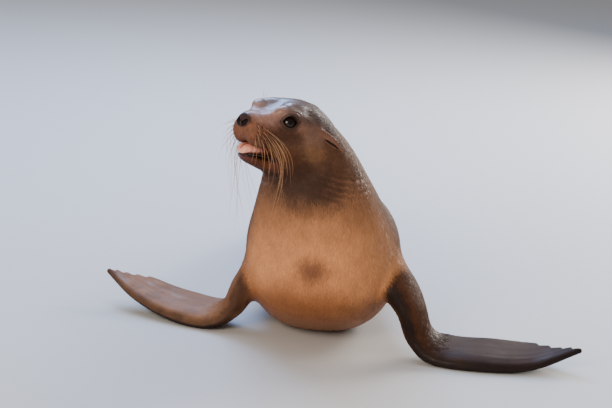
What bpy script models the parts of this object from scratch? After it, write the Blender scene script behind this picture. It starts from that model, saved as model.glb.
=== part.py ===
"""A California sea lion cow, life size, lying on its belly with the chest raised and the fore flippers spread.

Frame: metres, +Z up, the trunk along Y with the tail towards +Y and the chest towards -Y, and +X the
animal's left. The origin is on the floor, under the flat of the belly.

Each sub-part is one closed solid. The trunk, the neck and the limbs are lofts between unlike sections, carried
along smooth paths. The head, the jaw and the top of the neck are grown together with a voxel remesh, and then
parted by thin cuts.
"""

import math

import bmesh
import bpy
import numpy as np
from mathutils import Matrix, Vector
from mathutils.bvhtree import BVHTree

GAP = 0.0003                      # clearance between neighbouring solids
FLOOR = 0.0                       # everything that would sink below this lies flat on it

# ---- the trunk and neck: centre, then half width and half depth, from the neck's top to the tail's tip
SPINE = {
    "crown": ((-0.092, -0.352, 0.526), 0.026, 0.026),
    "nape": ((-0.086, -0.346, 0.496), 0.059, 0.060),
    "neck_top": ((-0.070, -0.340, 0.450), 0.089, 0.087),
    "neck_mid": ((-0.050, -0.334, 0.374), 0.117, 0.117),
    "neck_base": ((-0.036, -0.306, 0.292), 0.144, 0.142),
    "chest": ((-0.024, -0.248, 0.213), 0.168, 0.166),
    "thorax": ((-0.022, -0.134, 0.158), 0.167, 0.170),
    "trunk": ((-0.030, 0.060, 0.148), 0.148, 0.152),
    "loin": ((-0.026, 0.280, 0.133), 0.131, 0.137),
    "hips": ((-0.016, 0.480, 0.104), 0.106, 0.108),
    "rump": ((-0.014, 0.620, 0.074), 0.075, 0.072),
    "tail_base": ((-0.014, 0.700, 0.046), 0.034, 0.030),
    "tail_tip": ((-0.014, 0.768, 0.024), 0.009, 0.007),
}
STATIONS = list(SPINE)
BODY_SIDES = 28
NECK_END = 3.7 / (len(STATIONS) - 1)   # the share of the spine where the neck meets the chest
FULLNESS = 0.84                   # below 1, the lower half of the trunk is squarer than an ellipse
BEND = 0.05                       # the share of the spine over which its direction is read

# ---- the head, in its own frame: x towards the nose, y to its left, z up, from a point between the ears
HEAD_PLACE = Vector((-0.088, -0.352, 0.454))
HEAD_TURN = math.radians(45)      # the face looks this far to the animal's right
HEAD_LIFT = math.radians(20)      # and this far up
# x, half width, top, bottom of the skull with the upper jaw
SKULL = (
    (-0.072, 0.010, 0.012, -0.016),
    (-0.056, 0.044, 0.048, -0.050),
    (-0.020, 0.071, 0.077, -0.078),
    (0.020, 0.076, 0.087, -0.078),
    (0.060, 0.070, 0.084, -0.064),
    (0.095, 0.056, 0.067, -0.049),
    (0.122, 0.043, 0.047, -0.041),
    (0.148, 0.035, 0.036, -0.037),
    (0.170, 0.029, 0.029, -0.031),
    (0.184, 0.018, 0.021, -0.016),
    (0.190, 0.005, 0.008, -0.004),
)
# x, half width, top, bottom of the lower jaw while the mouth is shut
JAW = (
    (0.000, 0.046, -0.036, -0.074),
    (0.040, 0.048, -0.036, -0.078),
    (0.080, 0.040, -0.036, -0.073),
    (0.110, 0.031, -0.034, -0.065),
    (0.138, 0.025, -0.031, -0.057),
    (0.156, 0.018, -0.029, -0.049),
    (0.163, 0.005, -0.033, -0.040),
)
JAW_HINGE = Vector((0.020, 0.000, -0.032))
JAW_OPEN = math.radians(11)
# centre, radii and turn about z of the soft forms on the face; each has a twin on the other side
WHISKER_PAD = ((0.152, 0.0225, -0.012), (0.031, 0.0200, 0.027), 12)
CHEEK = ((0.062, 0.040, -0.046), (0.040, 0.022, 0.034), 14)
BROW = ((0.094, 0.0410, 0.046), (0.040, 0.022, 0.016), 12)
EYE_CENTRE = (0.096, 0.0375, 0.0275)
EYE_RADIUS = 0.0190
TONGUE = (
    (0.050, 0.016, -0.023, -0.046),
    (0.090, 0.020, -0.013, -0.040),
    (0.128, 0.021, -0.011, -0.036),
    (0.150, 0.019, -0.012, -0.033),
    (0.163, 0.014, -0.016, -0.034),
    (0.169, 0.003, -0.023, -0.028),
)
# x and z along the ear in the head's frame, then how far its middle stands off the head
EAR = ((0.026, 0.031, -0.004), (-0.004, 0.023, 0.004), (-0.032, 0.008, 0.006))
EAR_WIDTHS = (0.0095, 0.0095, 0.0020)
EAR_THICKNESS = 0.62
HEAD_VOXEL = 0.0040
HEAD_TRIANGLES = 1700
# thin cuts through the grown form: a point and the direction of the neck, then outlines of x and z
NAPE_CUT = (-0.030, 0.0, -0.062)
NAPE_DOWN = (-0.42, 0.0, -0.90)
JAW_BLOCK = ((0.066, -0.040), (0.240, -0.050), (0.240, -0.190), (0.036, -0.190))
NOSE_BLOCK = ((0.172, 0.070), (0.170, -0.006), (0.235, -0.012), (0.235, 0.070))

# ---- the shoulders are turned a little about the upright, the left one forward
SHOULDER_TURN = math.radians(15)
SHOULDERS = Vector((0.0, -0.250, 0.0))
# out, forward and up from the shoulders, then the chord ahead, the chord behind and the half thickness
LEFT_FORE = (
    (0.060, -0.010, 0.215, 0.040, 0.046, 0.036),
    (0.132, -0.004, 0.158, 0.056, 0.062, 0.040),
    (0.184, 0.020, 0.106, 0.060, 0.062, 0.031),
    (0.214, 0.030, 0.048, 0.052, 0.058, 0.026),
    (0.262, 0.034, 0.022, 0.056, 0.078, 0.020),
    (0.350, 0.026, 0.019, 0.052, 0.090, 0.016),
    (0.450, -0.010, 0.023, 0.046, 0.086, 0.012),
    (0.546, -0.070, 0.052, 0.030, 0.066, 0.008),
)
RIGHT_FORE = (
    (0.060, -0.010, 0.215, 0.040, 0.046, 0.036),
    (0.132, -0.004, 0.158, 0.056, 0.062, 0.040),
    (0.182, 0.020, 0.108, 0.060, 0.062, 0.031),
    (0.210, 0.030, 0.050, 0.052, 0.058, 0.026),
    (0.256, 0.034, 0.023, 0.056, 0.078, 0.020),
    (0.340, 0.024, 0.025, 0.052, 0.084, 0.016),
    (0.430, -0.006, 0.043, 0.046, 0.068, 0.012),
    (0.520, -0.050, 0.074, 0.030, 0.046, 0.008),
)
FORE_TILT = math.radians(12)      # the leading edge of the hand lies lower than the trailing edge
FORE_WRIST = 0.46                 # the share of a fore limb's length where the hand begins
FORE_SLANT = 0.10                 # the share of its length by which the trailing side is shorter
FORE_SCALLOP = 0.016              # and the share between two digits

# out, back and up from the body's middle line, then the chord outside, the chord inside and the half thickness
HIND = (
    (0.030, 0.590, 0.072, 0.032, 0.032, 0.030),
    (0.058, 0.650, 0.053, 0.032, 0.026, 0.027),
    (0.090, 0.677, 0.035, 0.032, 0.022, 0.022),
    (0.111, 0.644, 0.021, 0.034, 0.028, 0.017),
    (0.118, 0.570, 0.013, 0.040, 0.038, 0.012),
    (0.124, 0.490, 0.009, 0.045, 0.043, 0.009),
    (0.129, 0.405, 0.006, 0.043, 0.040, 0.005),
)
HIPS_MIDDLE = -0.014
HIND_ANKLE = 0.46
HIND_SLANT = 0.05
HIND_SCALLOP = 0.050
CLAWS = {2: 0.42, 3: 0.02, 4: -0.38}   # the digits with a claw, and where each lies across the foot
CLAW_SHARE = 0.80
CLAW_SIZE = (0.0030, 0.0085, 0.0034)
DIGITS = 5
ACROSS = (1.0, 0.95, 0.8, 0.6, 0.4, 0.2, 0.0, -0.2, -0.4, -0.6, -0.8, -0.95, -1.0)  # leading edge to trailing
EDGE = 0.0016                     # half thickness of a flipper's thinnest edge

SIDES = {"left": 1, "right": -1}
COAT = (0.130, 0.072, 0.042)
BARE = (0.040, 0.026, 0.019)
# colour and roughness of the parts whose names start so; the others wear the coat
LOOKS = {
    "chest": ((0.300, 0.165, 0.085), 0.5),
    "fore_flipper": (BARE, 0.4),
    "hind_flipper": (BARE, 0.4),
    "eye": ((0.020, 0.010, 0.008), 0.1),
    "nose": ((0.030, 0.018, 0.015), 0.3),
    "tongue": ((0.520, 0.230, 0.180), 0.35),
    "claw": ((0.050, 0.038, 0.028), 0.35),
}


# ---------------------------------------------------------------- scene and finishes
def clear_scene():
    """Removes what Blender starts with."""
    for item in list(bpy.data.objects):
        bpy.data.objects.remove(item)


def collection(name):
    """A collection of that name, linked to the scene."""
    made = bpy.data.collections.new(name)
    bpy.context.scene.collection.children.link(made)
    return made


def finish(name, colour, roughness):
    """A plain material of that colour and roughness."""
    made = bpy.data.materials.new(name)
    made.use_nodes = True
    shader = made.node_tree.nodes["Principled BSDF"]
    shader.inputs["Base Color"].default_value = (*colour, 1.0)
    shader.inputs["Roughness"].default_value = roughness
    shader.inputs["Metallic"].default_value = 0.0
    return made


# ---------------------------------------------------------------- curves and lofts
def through(knots, where):
    """A smooth curve through the knots, one row each, read at 0 to 1: cubic pieces with central slopes."""
    knots = np.asarray(knots, float)
    last = len(knots) - 1
    at = np.clip(np.asarray(where, float), 0.0, 1.0) * last
    low = np.minimum(at.astype(int), last - 1)
    slopes = np.gradient(knots, axis=0)
    t = (at - low)[..., None]
    a, b, da, db = knots[low], knots[low + 1], slopes[low], slopes[low + 1]
    return (
        (2 * t**3 - 3 * t**2 + 1) * a
        + (t**3 - 2 * t**2 + t) * da
        + (3 * t**2 - 2 * t**3) * b
        + (t**3 - t**2) * db
    )


def unit(vectors):
    """The rows at length 1."""
    return vectors / np.linalg.norm(vectors, axis=-1, keepdims=True)


def mesh_object(name, points, faces, into):
    """An object of these points and faces, with its faces turned outwards."""
    mesh = bpy.data.meshes.new(name)
    mesh.from_pydata([tuple(p) for p in points], [], faces)
    work = bmesh.new()
    work.from_mesh(mesh)
    bmesh.ops.remove_doubles(work, verts=work.verts, dist=1e-5)
    bmesh.ops.recalc_face_normals(work, faces=work.faces)
    work.to_mesh(mesh)
    work.free()
    made = bpy.data.objects.new(name, mesh)
    into.objects.link(made)
    return made


def loft(name, rings, into, flat_end=False):
    """A closed tube through the rings. A flat end is closed by strips across the ring, the others by one face."""
    count, sides = rings.shape[:2]
    faces = [
        (i * sides + j, i * sides + (j + 1) % sides, (i + 1) * sides + (j + 1) % sides, (i + 1) * sides + j)
        for i in range(count - 1)
        for j in range(sides)
    ]
    faces.append(tuple(range(sides)))
    end, half = (count - 1) * sides, sides // 2
    if flat_end:
        faces.append((end, end + 1, end + sides - 1))
        faces += [(end + j, end + j + 1, end + sides - j - 1, end + sides - j) for j in range(1, half - 1)]
        faces.append((end + half - 1, end + half, end + half + 1))
    else:
        faces.append(tuple(end + j for j in range(sides)))
    return mesh_object(name, rings.reshape(-1, 3), faces, into)


def spine_frame(where):
    """Rows of the spine's table, and the directions along it, to its side and to its back, at these shares."""
    table = [(*centre, wide, deep) for centre, wide, deep in SPINE.values()]
    rows = through(table, where)
    ahead = through(table, np.minimum(where + BEND, 1.0)) - through(table, np.maximum(where - BEND, 0.0))
    ahead = unit(ahead[:, :3] * np.array([0.0, 1.0, 1.0]))
    side = np.broadcast_to(np.array([1.0, 0.0, 0.0]), ahead.shape)
    return rows, ahead, side, np.cross(side, ahead)


def spine_rings(where):
    """Sections of the trunk and neck at these shares of the spine, each square to it, and flat on the floor."""
    rows, _, side, back = spine_frame(where)
    turn = np.arange(BODY_SIDES) * math.tau / BODY_SIDES
    wide, deep = np.cos(turn), np.sin(turn)
    below = deep < 0
    wide = np.where(below, np.sign(wide) * np.abs(wide) ** FULLNESS, wide)
    deep = np.where(below, -(np.abs(deep) ** FULLNESS), deep)
    rings = (
        rows[:, None, :3]
        + rows[:, 3, None, None] * wide[None, :, None] * side[:, None]
        + rows[:, 4, None, None] * deep[None, :, None] * back[:, None]
    )
    rings[..., 2] = np.maximum(rings[..., 2], FLOOR)
    return rings


def spine_share(station, past=0.0):
    """The share of the spine at a named station, or this many stations past it."""
    return (STATIONS.index(station) + past) / (len(STATIONS) - 1)


def body_piece(name, start, end, sections, into, gap=0.0):
    """The stretch of the trunk from one share of the spine to another, short of its end by a gap."""
    where = np.linspace(start, end, sections)
    rings = spine_rings(where)
    rings[-1] -= spine_frame(where)[1][-1] * gap
    return loft(name, rings, into)


def head_matrix():
    """From the head's own frame to the model's."""
    forward = Vector((-math.sin(HEAD_TURN), -math.cos(HEAD_TURN), 0)) * math.cos(HEAD_LIFT)
    forward.z = math.sin(HEAD_LIFT)
    left = Vector((math.cos(HEAD_TURN), -math.sin(HEAD_TURN), 0))
    up = forward.cross(left)
    return Matrix.Translation(HEAD_PLACE) @ Matrix((forward, left, up)).transposed().to_4x4()


def jaw_matrix():
    """From the head's frame with the mouth shut to the head's frame with it open."""
    hinge = Matrix.Translation(JAW_HINGE)
    return hinge @ Matrix.Rotation(JAW_OPEN, 4, "Y") @ hinge.inverted()


def head_form(name, table, into, sides=24, sections=22, matrix=None):
    """A loft along the head's x axis from rows of x, half width, top and bottom."""
    rows = through(table, np.linspace(0, 1, sections))
    turn = np.arange(sides) * math.tau / sides
    middle, half = (rows[:, 2] + rows[:, 3]) / 2, (rows[:, 2] - rows[:, 3]) / 2
    rings = np.stack(
        (
            np.repeat(rows[:, :1], sides, 1),
            rows[:, 1:2] * np.cos(turn),
            middle[:, None] + half[:, None] * np.sin(turn),
        ),
        -1,
    )
    made = loft(name, rings, into)
    made.data.transform(head_matrix() @ (matrix or Matrix.Identity(4)))
    return made


def ball(name, centre, radii, into, turn=0.0, segments=20, rings=12):
    """An ellipsoid in the head's frame, turned about its z axis."""
    work = bmesh.new()
    bmesh.ops.create_uvsphere(work, u_segments=segments, v_segments=rings, radius=1.0)
    mesh = bpy.data.meshes.new(name)
    work.to_mesh(mesh)
    work.free()
    shape = Matrix.Translation(centre) @ Matrix.Rotation(-math.radians(turn), 4, "Z")
    mesh.transform(head_matrix() @ shape @ Matrix.Diagonal((*radii, 1.0)))
    made = bpy.data.objects.new(name, mesh)
    into.objects.link(made)
    return made


def mirrored(centre, side):
    """A point of the head's frame on that side: 1 is left and -1 right."""
    return (centre[0], centre[1] * side, centre[2])


def limb_rings(limb, share):
    """Sections of a flipper at these shares of its length. The trailing side of the hand ends sooner, and its end
    is scalloped by the digits, so there each point has a share of its own."""
    across = np.array(ACROSS + ACROSS[-2:0:-1])
    above = np.where(np.arange(len(across)) < len(ACROSS), 1.0, -1.0)
    share = np.asarray(share)[:, None]
    fade = np.clip((share - limb.hinge) / (1 - limb.hinge), 0, 1)
    cut = limb.slant * (1 - across) / 2 + limb.scallop * (0.5 + 0.5 * np.cos((across + 1) * DIGITS * math.pi))
    at = share - cut * fade * fade * (3 - 2 * fade)
    return limb.points(at, across, above)


class Limb:
    """A flipper with the stretch that carries it, from a table of sections along its middle line."""

    def __init__(self, table, place, chord, side, hinge, slant, scallop, tilt):
        self.table = table
        self.place = place
        self.chord = chord
        self.side = side
        self.hinge = hinge
        self.slant = slant
        self.scallop = scallop
        self.tilt = tilt

    def points(self, at, across, above):
        """Points of its surface: at is the share of the length, across runs from 1 on the leading edge to -1, and
        above is 1 on the upper side and -1 on the lower."""
        row = through(self.table, at)
        ahead = unit(self.place(through(self.table, at + 0.004)) - self.place(through(self.table, at - 0.004)))
        chord = self.chord(ahead)
        chord = unit(chord - ahead * (chord * ahead).sum(-1, keepdims=True))
        normal = np.cross(chord, ahead) * self.side
        tilt = self.tilt * np.clip((at - 0.30) / 0.25, 0, 1)[..., None]
        chord, normal = chord * np.cos(tilt) - normal * np.sin(tilt), normal * np.cos(tilt) + chord * np.sin(tilt)
        hand = np.clip((at - self.hinge) / 0.2, 0, 1)
        round_off = np.sqrt(np.maximum(1 - across**2, 0))
        rise = row[..., 5] * round_off * (1 + 0.45 * hand * across)
        rise = np.where(round_off > 0.02, np.maximum(rise, EDGE), 0.0)
        reach = across * np.where(across > 0, row[..., 3], row[..., 4])
        points = self.place(row) + chord * reach[..., None] + normal * (rise * above)[..., None]
        points[..., 2] = np.maximum(points[..., 2], FLOOR)
        return points


def fore_limb(side):
    """The fore limb on that side: 1 is left and -1 right."""
    out = side * np.array([math.cos(SHOULDER_TURN), -math.sin(SHOULDER_TURN), 0.0])
    front = np.array([-math.sin(SHOULDER_TURN), -math.cos(SHOULDER_TURN), 0.0])
    up = np.array([0.0, 0.0, 1.0])

    def place(row):
        return np.array(SHOULDERS) + row[..., :1] * out + row[..., 1:2] * front + row[..., 2:3] * up

    def chord(ahead):
        return np.broadcast_to(front, ahead.shape)

    table = LEFT_FORE if side > 0 else RIGHT_FORE
    return Limb(table, place, chord, side, FORE_WRIST, FORE_SLANT, FORE_SCALLOP, FORE_TILT)


def hind_limb(side):
    """The hind limb on that side."""

    def place(row):
        return row[..., :3] * np.array([side, 1.0, 1.0]) + np.array([HIPS_MIDDLE, 0.0, 0.0])

    def chord(ahead):
        return side * np.stack((-ahead[..., 1], ahead[..., 0], np.zeros(ahead.shape[:-1])), -1)

    return Limb(HIND, place, chord, -side, HIND_ANKLE, HIND_SLANT, HIND_SCALLOP, 0.0)


def limb_piece(name, limb, start, end, sections, into):
    """The stretch of a limb between two shares of its length, short of its end by a gap if the limb goes on."""
    rings = limb_rings(limb, np.linspace(start, end, sections))
    if end < 1.0:
        rings[-1] -= unit((rings[-1] - rings[-2]).mean(0)) * GAP
    return loft(name, rings, into, flat_end=end >= 1.0)


# ---------------------------------------------------------------- joining and cutting
def evaluated_mesh(item):
    """The object's mesh as its modifiers leave it."""
    bpy.context.view_layer.update()
    graph = bpy.context.evaluated_depsgraph_get()
    return bpy.data.meshes.new_from_object(item.evaluated_get(graph))


def settle(item):
    """Replaces the object's mesh by its evaluated one, and drops its modifiers."""
    mesh = evaluated_mesh(item)
    item.modifiers.clear()
    item.data = mesh
    return item


def as_cutter(item, cutters):
    """Keeps the object as a helper that isn't part of the model."""
    for owner in list(item.users_collection):
        owner.objects.unlink(item)
    cutters.objects.link(item)
    item.hide_render = True
    item.display_type = "WIRE"
    return item


def swollen(item, cutters, gap=GAP):
    """A cutter that is the object grown by the gap along its normals."""
    copy = bpy.data.objects.new("around_" + item.name, evaluated_mesh(item))
    cutters.objects.link(copy)
    as_cutter(copy, cutters)
    grow = copy.modifiers.new("grow", "DISPLACE")
    grow.strength = gap
    grow.mid_level = 0.0
    return settle(copy)


def boolean(item, other, operation):
    """Cuts or joins the object with the other one."""
    change = item.modifiers.new(operation.lower(), "BOOLEAN")
    change.operation = operation
    change.object = other
    change.solver = "EXACT"
    return settle(item)


def half_space(name, point, normal, cutters, size=1.2):
    """A large box on the normal's side of the plane through the point."""
    work = bmesh.new()
    bmesh.ops.create_cube(work, size=1.0)
    mesh = bpy.data.meshes.new(name)
    work.to_mesh(mesh)
    work.free()
    turn = Vector(normal).to_track_quat("Z", "Y").to_matrix().to_4x4()
    mesh.transform(Matrix.Translation(point) @ turn @ Matrix.Diagonal((size, size, size, 1)))
    mesh.transform(Matrix.Translation(Vector(normal).normalized() * size / 2))
    made = bpy.data.objects.new(name, mesh)
    cutters.objects.link(made)
    return as_cutter(made, cutters)


def copy_of(item, name, into):
    """A second object with its own copy of the mesh."""
    made = bpy.data.objects.new(name, item.data.copy())
    into.objects.link(made)
    return made


def largest_body(item):
    """Keeps the largest connected piece of the mesh, so that no crumb is left by a cut."""
    work = bmesh.new()
    work.from_mesh(item.data)
    left, pieces = set(work.verts), []
    while left:
        stack, piece = [left.pop()], set()
        while stack:
            vertex = stack.pop()
            piece.add(vertex)
            near = {edge.other_vert(vertex) for edge in vertex.link_edges} & left
            left -= near
            stack.extend(near)
        pieces.append(piece)
    pieces.sort(key=len)
    bmesh.ops.delete(work, geom=[v for piece in pieces[:-1] for v in piece], context="VERTS")
    work.to_mesh(item.data)
    work.free()
    return item


# ---------------------------------------------------------------- the parts
def make_trunk(parts):
    """The chest, belly, hindquarters and tail, end to end along the spine."""
    bounds = {
        "chest": (NECK_END, spine_share("thorax"), 10),
        "belly": (spine_share("thorax"), spine_share("loin"), 8),
        "hindquarters": (spine_share("loin"), spine_share("tail_base", -0.2), 11),
        "tail": (spine_share("tail_base", -0.2), 1.0, 5),
    }
    return {name: body_piece(name, a, b, n, parts, 0.0 if b == 1.0 else GAP) for name, (a, b, n) in bounds.items()}


def grown_head(cutters):
    """The head, jaws and upper neck as one smooth form, from lofts and soft balls grown together."""
    forms = [
        body_piece("neck_form", 0.0, NECK_END + 0.04, 14, cutters),
        head_form("skull_form", SKULL, cutters),
        head_form("jaw_form", JAW, cutters, matrix=jaw_matrix()),
    ]
    for side in (1, -1):
        for centre, radii, turn in (WHISKER_PAD, CHEEK, BROW):
            forms.append(ball("soft_form", mirrored(centre, side), radii, cutters, turn * side))
    whole = copy_of(forms[0], "head_and_neck", cutters)
    work = bmesh.new()
    for form in forms:
        work.from_mesh(form.data)
        bpy.data.objects.remove(form)
    work.to_mesh(whole.data)
    work.free()
    grown = whole.modifiers.new("grown_together", "REMESH")
    grown.mode = "VOXEL"
    grown.voxel_size = HEAD_VOXEL
    softer = whole.modifiers.new("softer", "SMOOTH")
    softer.factor = 0.5
    softer.iterations = 8
    settle(whole)
    fewer = whole.modifiers.new("fewer_faces", "DECIMATE")
    fewer.ratio = HEAD_TRIANGLES / (2 * len(whole.data.polygons))
    settle(whole)
    return as_cutter(whole, cutters)


def head_block(name, outline, cutters):
    """A block right across the head, from an outline in the head's upright plane of x and z."""
    points = [(x, side * 0.15, z) for side in (-1, 1) for x, z in outline]
    count = len(outline)
    faces = [tuple(range(count)), tuple(range(count, 2 * count))]
    faces += [(i, (i + 1) % count, count + (i + 1) % count, count + i) for i in range(count)]
    made = mesh_object(name, points, faces, cutters)
    made.data.transform(head_matrix())
    return as_cutter(made, cutters)


def make_head(parts, cutters):
    """The head, lower jaw, nose and neck, parted from the grown form by thin cuts."""
    whole = grown_head(cutters)
    placed = head_matrix()
    nape, nape_down = placed @ Vector(NAPE_CUT), placed.to_3x3() @ Vector(NAPE_DOWN).normalized()
    rows, ahead, _, _ = spine_frame(np.array([NECK_END]))
    neck_end, neck_down = Vector(rows[0, :3]), Vector(ahead[0])

    neck = copy_of(whole, "neck", parts)
    boolean(neck, half_space("above_neck", nape + nape_down * GAP, -nape_down, cutters), "DIFFERENCE")
    boolean(neck, half_space("below_neck", neck_end - neck_down * GAP, neck_down, cutters), "DIFFERENCE")
    largest_body(neck)

    head = copy_of(whole, "head", parts)
    boolean(head, half_space("behind_head", nape, nape_down, cutters), "DIFFERENCE")
    made = {"whole": whole, "neck": neck, "head": head}
    for name, outline in (("lower_jaw", JAW_BLOCK), ("nose", NOSE_BLOCK)):
        block = head_block(name + "_block", outline, cutters)
        made[name] = copy_of(head, name, parts)
        boolean(made[name], block, "INTERSECT")
        largest_body(made[name])
        boolean(head, swollen(block, cutters, 2 * GAP), "DIFFERENCE")
    for label, side in SIDES.items():
        eye = ball(f"eye_{label}", mirrored(EYE_CENTRE, side), (EYE_RADIUS,) * 3, parts, 0.0, 16, 10)
        made[eye.name] = eye
        boolean(head, swollen(eye, cutters), "DIFFERENCE")
    largest_body(head)
    return made


def make_tongue(made, parts, cutters):
    """The tongue, lying in a bed in the lower jaw."""
    tongue = head_form("tongue", TONGUE, parts, 12, 10, jaw_matrix())
    around = swollen(tongue, cutters)
    for name in ("lower_jaw", "head"):
        boolean(made[name], around, "DIFFERENCE")
        largest_body(made[name])


def make_ear(label, side, made, parts, cutters):
    """A small furled ear, pointing back and down along the side of the head."""
    work = bmesh.new()
    work.from_mesh(made["whole"].data)
    surface = BVHTree.FromBMesh(work)
    work.free()
    placed = head_matrix()
    inward = placed.to_3x3() @ Vector((0, -side, 0))
    rows = through(EAR, np.linspace(0, 1, 7))
    place = []
    for x, z, off in rows:
        found = surface.ray_cast(placed @ Vector((x, side * 0.25, z)), inward)[0]
        place.append(placed.inverted() @ found + Vector((0, side * off, 0)))
    place = np.array(place)
    ahead = unit(np.gradient(place, axis=0))
    flat = unit(np.cross(ahead, np.array([0.0, side, 0.0])))
    thick = np.cross(ahead, flat)
    widths = through(np.array(EAR_WIDTHS)[:, None], np.linspace(0, 1, 7))
    turn = np.arange(10) * math.tau / 10
    rings = (
        place[:, None]
        + flat[:, None] * (np.cos(turn)[None] * widths)[..., None]
        + thick[:, None] * (np.sin(turn)[None] * widths * EAR_THICKNESS)[..., None]
    )
    ear = loft(f"ear_{label}", rings, parts)
    ear.data.transform(placed)
    for name in ("head", "neck"):
        boolean(ear, swollen(made[name], cutters), "DIFFERENCE")
    return largest_body(ear)


def make_fore_limb(label, side, made, parts, cutters):
    """The forearm and the flipper on one side."""
    limb = fore_limb(side)
    forearm = limb_piece(f"forearm_{label}", limb, 0.0, FORE_WRIST, 10, parts)
    for name in ("chest", "belly", "neck"):
        boolean(forearm, swollen(made[name], cutters, 2 * GAP), "DIFFERENCE")
    largest_body(forearm)
    limb_piece(f"fore_flipper_{label}", limb, FORE_WRIST, 1.0, 12, parts)


def make_hind_limb(label, side, made, parts, cutters):
    """The ankle, the foot and its three claws on one side."""
    limb = hind_limb(side)
    ankle = limb_piece(f"ankle_{label}", limb, 0.0, HIND_ANKLE, 8, parts)
    foot = limb_piece(f"hind_flipper_{label}", limb, HIND_ANKLE, 1.0, 10, parts)
    for name in ("hindquarters", "tail"):
        boolean(ankle, swollen(made[name], cutters, 2 * GAP), "DIFFERENCE")
    largest_body(ankle)
    around = swollen(foot, cutters)
    for digit, across in CLAWS.items():
        at = np.array([CLAW_SHARE])
        place = limb.points(at, np.array([across]), np.array([1.0]))[0]
        tip = limb.points(at + 0.02, np.array([across]), np.array([1.0]))[0]
        work = bmesh.new()
        bmesh.ops.create_uvsphere(work, u_segments=8, v_segments=6, radius=1.0)
        mesh = bpy.data.meshes.new("claw")
        work.to_mesh(mesh)
        work.free()
        turn = Vector(tip - place).to_track_quat("Y", "Z").to_matrix().to_4x4()
        mesh.transform(Matrix.Translation(place) @ turn @ Matrix.Diagonal((*CLAW_SIZE, 1.0)))
        claw = bpy.data.objects.new(f"claw_{label}_{digit}", mesh)
        parts.objects.link(claw)
        boolean(claw, around, "DIFFERENCE")
        largest_body(claw)


def dress(parts):
    """Gives every part a finish of its own, smooth shading and a collection named for the animal."""
    for item in parts.objects:
        colour, roughness = next(
            (look for words, look in LOOKS.items() if item.name.startswith(words)), (COAT, 0.6)
        )
        item.data.materials.clear()
        item.data.materials.append(finish(item.name + "_finish", colour, roughness))
        for face in item.data.polygons:
            face.use_smooth = True
            face.material_index = 0


def main():
    """Builds every part."""
    clear_scene()
    parts, cutters = collection("sea_lion"), collection("cutters")
    cutters.hide_render = True
    made = make_trunk(parts) | make_head(parts, cutters)
    make_tongue(made, parts, cutters)
    for label, side in SIDES.items():
        make_ear(label, side, made, parts, cutters)
        make_fore_limb(label, side, made, parts, cutters)
        make_hind_limb(label, side, made, parts, cutters)
    dress(parts)


main()
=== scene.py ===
"""The looks of a California sea lion cow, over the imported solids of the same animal.

One skin covers the flesh. It is the zero level of a smooth field made of the trunk, the skull, the jaw and
the limbs, and it lies inside the solids by the depth of the coat. Short tufts lie along it, and the eyes,
the tongue and the whiskers are pieces of their own. The claws stay as the solids have them. Everything is
in metres, +Z up, with the tail towards +Y.
"""

import logging
import math
from dataclasses import dataclass
from enum import Enum
from typing import Callable, Iterator, Sequence
import bpy
import numpy as np
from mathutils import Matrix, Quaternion, Vector


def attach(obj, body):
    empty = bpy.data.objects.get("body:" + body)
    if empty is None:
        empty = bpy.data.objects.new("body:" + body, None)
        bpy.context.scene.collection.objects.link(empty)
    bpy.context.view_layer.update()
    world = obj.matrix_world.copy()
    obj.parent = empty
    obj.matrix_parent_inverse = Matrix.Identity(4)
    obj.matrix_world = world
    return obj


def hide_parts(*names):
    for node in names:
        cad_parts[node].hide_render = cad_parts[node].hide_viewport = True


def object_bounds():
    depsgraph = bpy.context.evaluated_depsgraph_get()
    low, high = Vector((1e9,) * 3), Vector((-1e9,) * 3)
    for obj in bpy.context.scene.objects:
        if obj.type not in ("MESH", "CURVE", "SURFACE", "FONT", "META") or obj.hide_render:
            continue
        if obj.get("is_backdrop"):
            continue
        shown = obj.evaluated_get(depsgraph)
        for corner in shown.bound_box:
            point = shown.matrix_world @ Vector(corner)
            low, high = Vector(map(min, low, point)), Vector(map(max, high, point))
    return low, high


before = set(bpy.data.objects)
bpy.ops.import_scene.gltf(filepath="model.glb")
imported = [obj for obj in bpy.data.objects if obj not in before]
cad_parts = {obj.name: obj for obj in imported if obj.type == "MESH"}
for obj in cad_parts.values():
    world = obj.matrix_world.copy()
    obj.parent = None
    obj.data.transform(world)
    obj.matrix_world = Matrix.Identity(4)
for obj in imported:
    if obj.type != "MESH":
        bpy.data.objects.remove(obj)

LOG = logging.getLogger("sea_lion")
Array = np.ndarray

# ---- measures of the body: centre, half width and half depth from the crown to the tail's tip
SPINE = (
    (-0.092, -0.352, 0.526, 0.026, 0.026),
    (-0.086, -0.346, 0.496, 0.059, 0.060),
    (-0.070, -0.340, 0.450, 0.089, 0.087),
    (-0.050, -0.334, 0.374, 0.117, 0.117),
    (-0.036, -0.306, 0.292, 0.144, 0.142),
    (-0.024, -0.248, 0.213, 0.168, 0.166),
    (-0.022, -0.134, 0.158, 0.167, 0.170),
    (-0.030, 0.060, 0.148, 0.148, 0.152),
    (-0.026, 0.280, 0.133, 0.131, 0.137),
    (-0.016, 0.480, 0.104, 0.106, 0.108),
    (-0.014, 0.620, 0.074, 0.075, 0.072),
    (-0.014, 0.700, 0.046, 0.034, 0.030),
    (-0.014, 0.768, 0.024, 0.009, 0.007),
)
FULLNESS = 0.84
BEND = 0.05
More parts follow.
